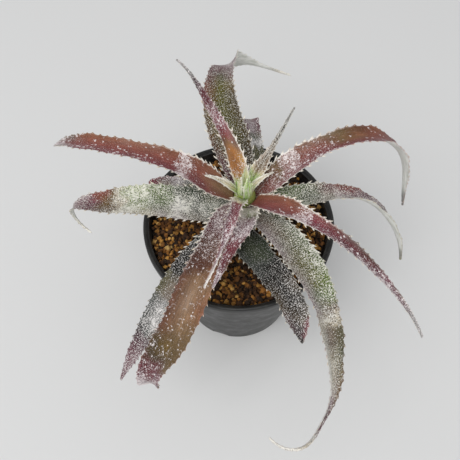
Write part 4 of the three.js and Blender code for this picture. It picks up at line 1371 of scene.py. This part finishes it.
            (0.29, (T.CREAM, T.OLIVE, T.OLIVE), (0.8, 0.24, 0.45)),
            (0.35, (T.BEIGE, T.MAUVE, T.LILAC), (0.6, 0.42, 0.6)),
            (0.44, (T.MAUVE, T.MAUVE, T.LILAC), (0.5, 0.56, 0.5)),
            (0.54, (T.MAUVE, T.MAUVE, T.CRIMSON), (0.55, 0.74, 0.5)),
            (0.6, (T.CRIMSON, T.CRIMSON, T.WINE), (0.5, 0.34, 0.22)),
            (0.68, (T.CRIMSON, T.CRIMSON, T.WINE), (0.4, 0.2, 0.16)),
            (0.8, (T.CRIMSON, T.WINE, T.COCOA), (0.5, 0.22, 0.14)),
            (0.88, (T.LILAC, T.MAUVE, T.MAUVE), 0.42), (1.0, (T.LILAC,), 0.45))),
    # On this leaf the rust and brick of the right, back half are painted sheen of the overhead
    # light; the skin's own colour is the crimson of the left, front half.
    Leaf("leaf_left_red", LeafKind.RED, 175, 115, 109,
         (43, 38, 15, -3, -21, -47), (0, -7, -5, -10, -17, -18),
         (9, 16.3, 13.3, 10.5, 10.1, 9.2, 1), 20, (
            (0.0, (T.OLIVE_BROWN, T.TAN, T.BRICK), 0.02),
            (0.1, (T.RUST, T.TAN, T.BRICK), (0.02, 0.06, 0.12)),
            (0.2, (T.RUST, T.BRICK, T.CRIMSON), (0.04, 0.1, 0.3)),
            (0.25, (T.RUST, T.BRICK, T.CRIMSON), (0.3, 0.3, 0.45)),
            (0.27, (T.RUST, T.BRICK, T.CRIMSON), (0.72, 0.6, 0.62)),
            (0.315, (T.RUST, T.BRICK, T.CRIMSON), (0.78, 0.66, 0.7)),
            (0.338, (T.RUST, T.BRICK, T.CRIMSON), (0.08, 0.12, 0.2)),
            (0.45, (T.RUST, T.BRICK, T.CRIMSON), (0.07, 0.16, 0.36)),
            (0.8, (T.RUST, T.BRICK, T.CRIMSON), (0.12, 0.18, 0.42)),
            (0.86, (T.TAUPE, T.BRICK, T.MAUVE), (0.3, 0.3, 0.5)),
            (0.92, (T.TAUPE, T.MAUVE, T.TAUPE), 0.55),
            (1.0, (T.GREY, T.LILAC, T.GREY), 0.6)), edge=T.BEIGE),
    Leaf("leaf_right_red", LeafKind.RED, 321, 116.6, 119,
         (45, 23, 1, -19, -37, -55), (0, -1, 0, -3, -2, -5),
         (8.5, 12.3, 8.3, 6.1, 4.2, 2.5, 1), 20, (
            (0.0, (T.CRIMSON, T.BRICK, T.RUST), 0.02),
            (0.12, (T.CRIMSON, T.BRICK, T.RUST), (0.3, 0.04, 0.02)),
            (0.22, (T.CRIMSON, T.BRICK, T.RUST), (0.45, 0.08, 0.04)),
            (0.245, (T.CRIMSON, T.BRICK, T.RUST), (0.5, 0.35, 0.3)),
            (0.262, (T.CRIMSON, T.BRICK, T.RUST), (0.76, 0.62, 0.56)),
            (0.31, (T.CRIMSON, T.CRIMSON, T.RUST), (0.74, 0.64, 0.46)),
            (0.33, (T.CRIMSON, T.CRIMSON, T.BRICK), (0.4, 0.26, 0.12)),
            (0.5, (T.MAUVE, T.WINE, T.SEAL), (0.56, 0.24, 0.12)),
            (0.6, (T.MAUVE, T.WINE, T.SEAL), (0.55, 0.3, 0.16)),
            (0.7, (T.LILAC, T.MAUVE, T.MAUVE), (0.66, 0.5, 0.3)),
            (0.8, (T.LILAC, T.MAUVE, T.TAUPE), (0.6, 0.5, 0.4)), (0.88, (T.GREY,), 0.5),
            (1.0, (T.GREY,), 0.5)), edge=T.CREAM),
    Leaf("leaf_back_orange", LeafKind.BROWN, 109, 119.7, 79,
         (61, 41, 24, 13, 1, -13), (0, 7, 13, 9, 11, 17),
         (8, 9.1, 6.9, 5.5, 3.4, 1.8, 1), 22, (
            (0.0, (T.YELLOW_GREEN_WITH_GLOW,), 0.3), (0.05, (T.AMBER,), 0.5),
            (0.1, (T.AMBER, T.ORANGE, T.ORANGE), (0.5, 0.38, 0.36)),
            (0.15, (T.AMBER, T.ORANGE, T.ORANGE), (0.4, 0.18, 0.16)),
            (0.22, (T.TAN, T.ORANGE, T.TAN), (0.2, 0.03, 0.03)),
            (0.3, (T.COCOA, T.TAN, T.COCOA), (0.1, 0.02, 0.02)),
            (0.35, (T.CRIMSON, T.BRICK, T.BRICK), 0.16), (0.4, (T.CRIMSON,), (0.36, 0.36, 0.42)),
            (0.5, (T.WINE, T.CRIMSON, T.BRICK), (0.36, 0.56, 0.72)),
            (0.55, (T.WINE, T.WINE, T.CRIMSON), (0.26, 0.26, 0.36)),
            (0.64, (T.WINE, T.WINE, T.CRIMSON), (0.22, 0.22, 0.34)), (0.72, (T.PURPLE,), 0.38),
            (0.82, (T.SLATE,), 0.5), (1.0, (T.GREY,), 0.5)), start=4.8),
    Leaf("leaf_back_young", LeafKind.YOUNG, 61, 117.9, 45,
         (45, 44, 40, 36, 30, 24), (0, -16, -13, -7, -5, -3),
         (6, 8.5, 5.9, 3.3, 2.4, 1.7, 1), 24, (
            (0.0, (T.FRESH_WITH_GLOW, T.YELLOW_GREEN_WITH_GLOW, T.FRESH_WITH_GLOW), 0.2),
            (0.1, (T.FRESH_WITH_GLOW, T.YELLOW_GREEN_WITH_GLOW, T.FRESH_WITH_GLOW), 0.3),
            (0.18, (T.STRAW_WITH_GLOW, T.TAN, T.STRAW_WITH_GLOW), (0.5, 0.3, 0.5)),
            (0.26, (T.TAN, T.OLIVE_BROWN, T.TAN), (0.4, 0.3, 0.4)),
            (0.4, (T.TAN, T.UMBER, T.TAN), (0.5, 0.36, 0.5)),
            (0.55, (T.TAUPE, T.UMBER, T.TAUPE), 0.5), (0.7, (T.GREY, T.CHARCOAL, T.GREY), 0.45),
            (0.85, (T.GREY, T.CHARCOAL, T.GREY), 0.4), (1.0, (T.GREY,), 0.3)), start=5.4),
    Leaf("leaf_front_narrow", LeafKind.RED, 253, 119.5, 63,
         (60, 42, 14, -4, -15, -21), (0, 3, 4, -3, -4, -15),
         (5.5, 7.1, 5.8, 5.3, 2.7, 1.6, 1), 24, (
            (0.0, (T.PALE_GREEN, T.LEAF_GREEN, T.LEAF_GREEN), 0.3),
            (0.13, (T.STRAW_WITH_GLOW, T.LEAF_GREEN, T.LEAF_GREEN), (0.5, 0.4, 0.2)),
            (0.19, (T.BEIGE, T.STRAW_WITH_GLOW, T.LEAF_GREEN), (0.5, 0.5, 0.25)),
            (0.25, (T.CRIMSON,), (0.4, 0.24, 0.2)),
            (0.38, (T.MAUVE, T.CRIMSON, T.CRIMSON), (0.5, 0.34, 0.22)),
            (0.46, (T.MAUVE, T.CRIMSON, T.CRIMSON), (0.5, 0.36, 0.3)),
            (0.54, (T.MAUVE, T.CRIMSON, T.CRIMSON), (0.5, 0.46, 0.5)),
            (0.63, (T.MAUVE, T.MAUVE, T.LILAC), (0.46, 0.5, 0.6)),
            (0.7, (T.BRICK, T.MAUVE, T.LILAC), 0.36), (0.8, (T.RUST, T.LILAC, T.CREAM), 0.24),
            (1.0, (T.LILAC, T.CREAM, T.CREAM), 0.3)), start=4.8),
    Leaf("leaf_inner_left", LeafKind.YOUNG, 185, 120.4, 21,
         (60, 56, 50, 40, 28, 12), (0, -2, -4, -6, -8, -8),
         (4, 5, 4.7, 3.9, 2.8, 1.7, 1), 24, (
            (0.0, (T.YELLOW_GREEN_WITH_GLOW,), 0.2), (0.2, (T.FRESH_WITH_GLOW, T.STRAW_WITH_GLOW, T.FRESH_WITH_GLOW), 0.4),
            (0.35, (T.CREAM, T.STRAW_WITH_GLOW, T.CREAM), 0.5),
            (1.0, (T.CREAM, T.BEIGE, T.CREAM), 0.5)), start=4.2),
    Leaf("leaf_inner_right", LeafKind.YOUNG, 22, 120.9, 14,
         (62, 52, 40, 28, 16, 6), (0, 0), (3.6, 4, 3.4, 2.7, 1.9, 1.2, 1), 24, (
            (0.0, (T.FRESH_WITH_GLOW, T.YELLOW_GREEN_WITH_GLOW, T.FRESH_WITH_GLOW), 0.3),
            (0.3, (T.CREAM, T.STRAW_WITH_GLOW, T.CREAM), 0.45),
            (1.0, (T.CREAM, T.BEIGE, T.CREAM), 0.5)), start=3.7),
    Leaf("leaf_core_left", LeafKind.YOUNG, 214, 121.5, 12,
         (90, 93, 95, 96), (0, 0), (4, 4.2, 3.4, 2.2, 1), 24, (
            (0.0, (T.YELLOW_GREEN_WITH_GLOW, T.FRESH_WITH_GLOW, T.YELLOW_GREEN_WITH_GLOW), 0.2),
            (1.0, (T.FRESH_WITH_GLOW, T.STRAW_WITH_GLOW, T.CREAM), 0.4)), start=3.1, bare_back=1.0),
    Leaf("leaf_core_right", LeafKind.YOUNG, 288, 121.3, 13,
         (92, 95, 98, 99), (0, 0), (4.8, 5.4, 4.2, 2.5, 1), 24, (
            (0.0, (T.YELLOW_GREEN_WITH_GLOW,), 0.2),
            (1.0, (T.FRESH_WITH_GLOW, T.YELLOW_GREEN_WITH_GLOW, T.FRESH_WITH_GLOW), 0.35)), start=4.0, bare_back=1.0),
    Leaf("leaf_centre", LeafKind.YOUNG, 85, 122.8, 12,
         (68, 72, 76, 78), (0, 0), (2.6, 4.2, 3.4, 2, 1), 24, (
            (0.0, (T.FRESH_WITH_GLOW,), 0.2),
            (1.0, (T.CREAM, T.STRAW_WITH_GLOW, T.FRESH_WITH_GLOW), 0.4)), start=0.9, bare_back=1.0),
)


@dataclass(frozen=True)
class Rosette:
    """All the leaves, with one finish for each kind."""

    leaves: tuple[Leaf, ...] = LEAVES

    def build(self) -> None:
        """Makes the finishes, then every leaf."""
        finishes = {kind: kind.value.material() for kind in LeafKind}
        for leaf in self.leaves:
            leaf.build(finishes[leaf.kind])


@dataclass(frozen=True)
class Studio:
    """Pale paper floor, soft overhead light that is a little stronger from the front left, and a
    camera that looks down on the plant."""

    floor_colour: int = 0xE0E0DF
    floor_size: float = 6000.0
    light_place: tuple[float, float, float] = (-600.0, -950.0, 1790.0)
    light_size: float = 1400.0
    light_power: float = 24.5
    sky: int = 0xF7F8FA
    sky_strength: float = 0.56
    aim: tuple[float, float, float] = (-4.8, -5.7, 90.0)
    distance: float = 326.6
    elevation: float = 60.5
    lens: float = 46.96

    def floor(self) -> None:
        """Lays the floor, a flat sheet of matt paper."""
        half = self.floor_size / 2 * MM
        mesh = bpy.data.meshes.new("paper_floor")
        mesh.from_pydata([(-half, -half, 0), (half, -half, 0), (half, half, 0), (-half, half, 0)],
                         [], [(0, 1, 2, 3)])
        material, tree = blank_material("matt_paper")
        shader = add_node(tree, "BsdfPrincipled", linear(self.floor_colour), named={
            "Roughness": 0.9, "Specular IOR Level": 0.2})
        add_node(tree, "OutputMaterial", shader)
        mesh.materials.append(material)
        sheet = bpy.data.objects.new("paper_floor", mesh)
        bpy.context.scene.collection.objects.link(sheet)

    def light(self) -> None:
        """Hangs the overhead light and sets the sky."""
        lamp = bpy.data.lights.new("overhead_softbox", "AREA")
        lamp.size = self.light_size * MM
        lamp.energy = self.light_power
        holder = bpy.data.objects.new("overhead_softbox", lamp)
        holder.location = Vector(self.light_place) * MM
        aim = Vector(self.aim) * MM - holder.location
        holder.rotation_euler = aim.to_track_quat("-Z", "Y").to_euler()
        bpy.context.scene.collection.objects.link(holder)
        world = bpy.data.worlds.new("white_room")
        world.use_nodes = True
        back = world.node_tree.nodes["Background"]
        back.inputs[0].default_value = linear(self.sky)
        back.inputs[1].default_value = self.sky_strength
        bpy.context.scene.world = world

    def camera(self) -> None:
        """Places the camera back from the aim along the elevation."""
        rise = np.radians(self.elevation)
        back = Vector((0, -np.cos(rise), np.sin(rise)))
        data = bpy.data.cameras.new("camera")
        data.lens = self.lens
        data.sensor_width = 36
        data.clip_start, data.clip_end = 0.01, 20
        camera = bpy.data.objects.new("camera", data)
        camera.location = (Vector(self.aim) + back * self.distance) * MM
        camera.rotation_euler = (-back).to_track_quat("-Z", "Y").to_euler()
        bpy.context.scene.collection.objects.link(camera)
        bpy.context.scene.camera = camera

    def build(self) -> None:
        """Sets up the floor, the light and the camera."""
        bpy.context.scene.view_settings.view_transform = "Standard"
        self.floor()
        self.light()
        self.camera()


def main() -> None:
    """Builds the studio, the pot, the soil, the stem and the leaves."""
    logging.basicConfig(level=logging.INFO, format="%(name)s: %(message)s")
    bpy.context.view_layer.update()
    for part in (Studio(), NurseryPot(), ClaySoil(), Stem(), Rosette()):
        part.build()
        LOG.info("built %s", type(part).__name__)


if __name__ == "__main__":
    main()
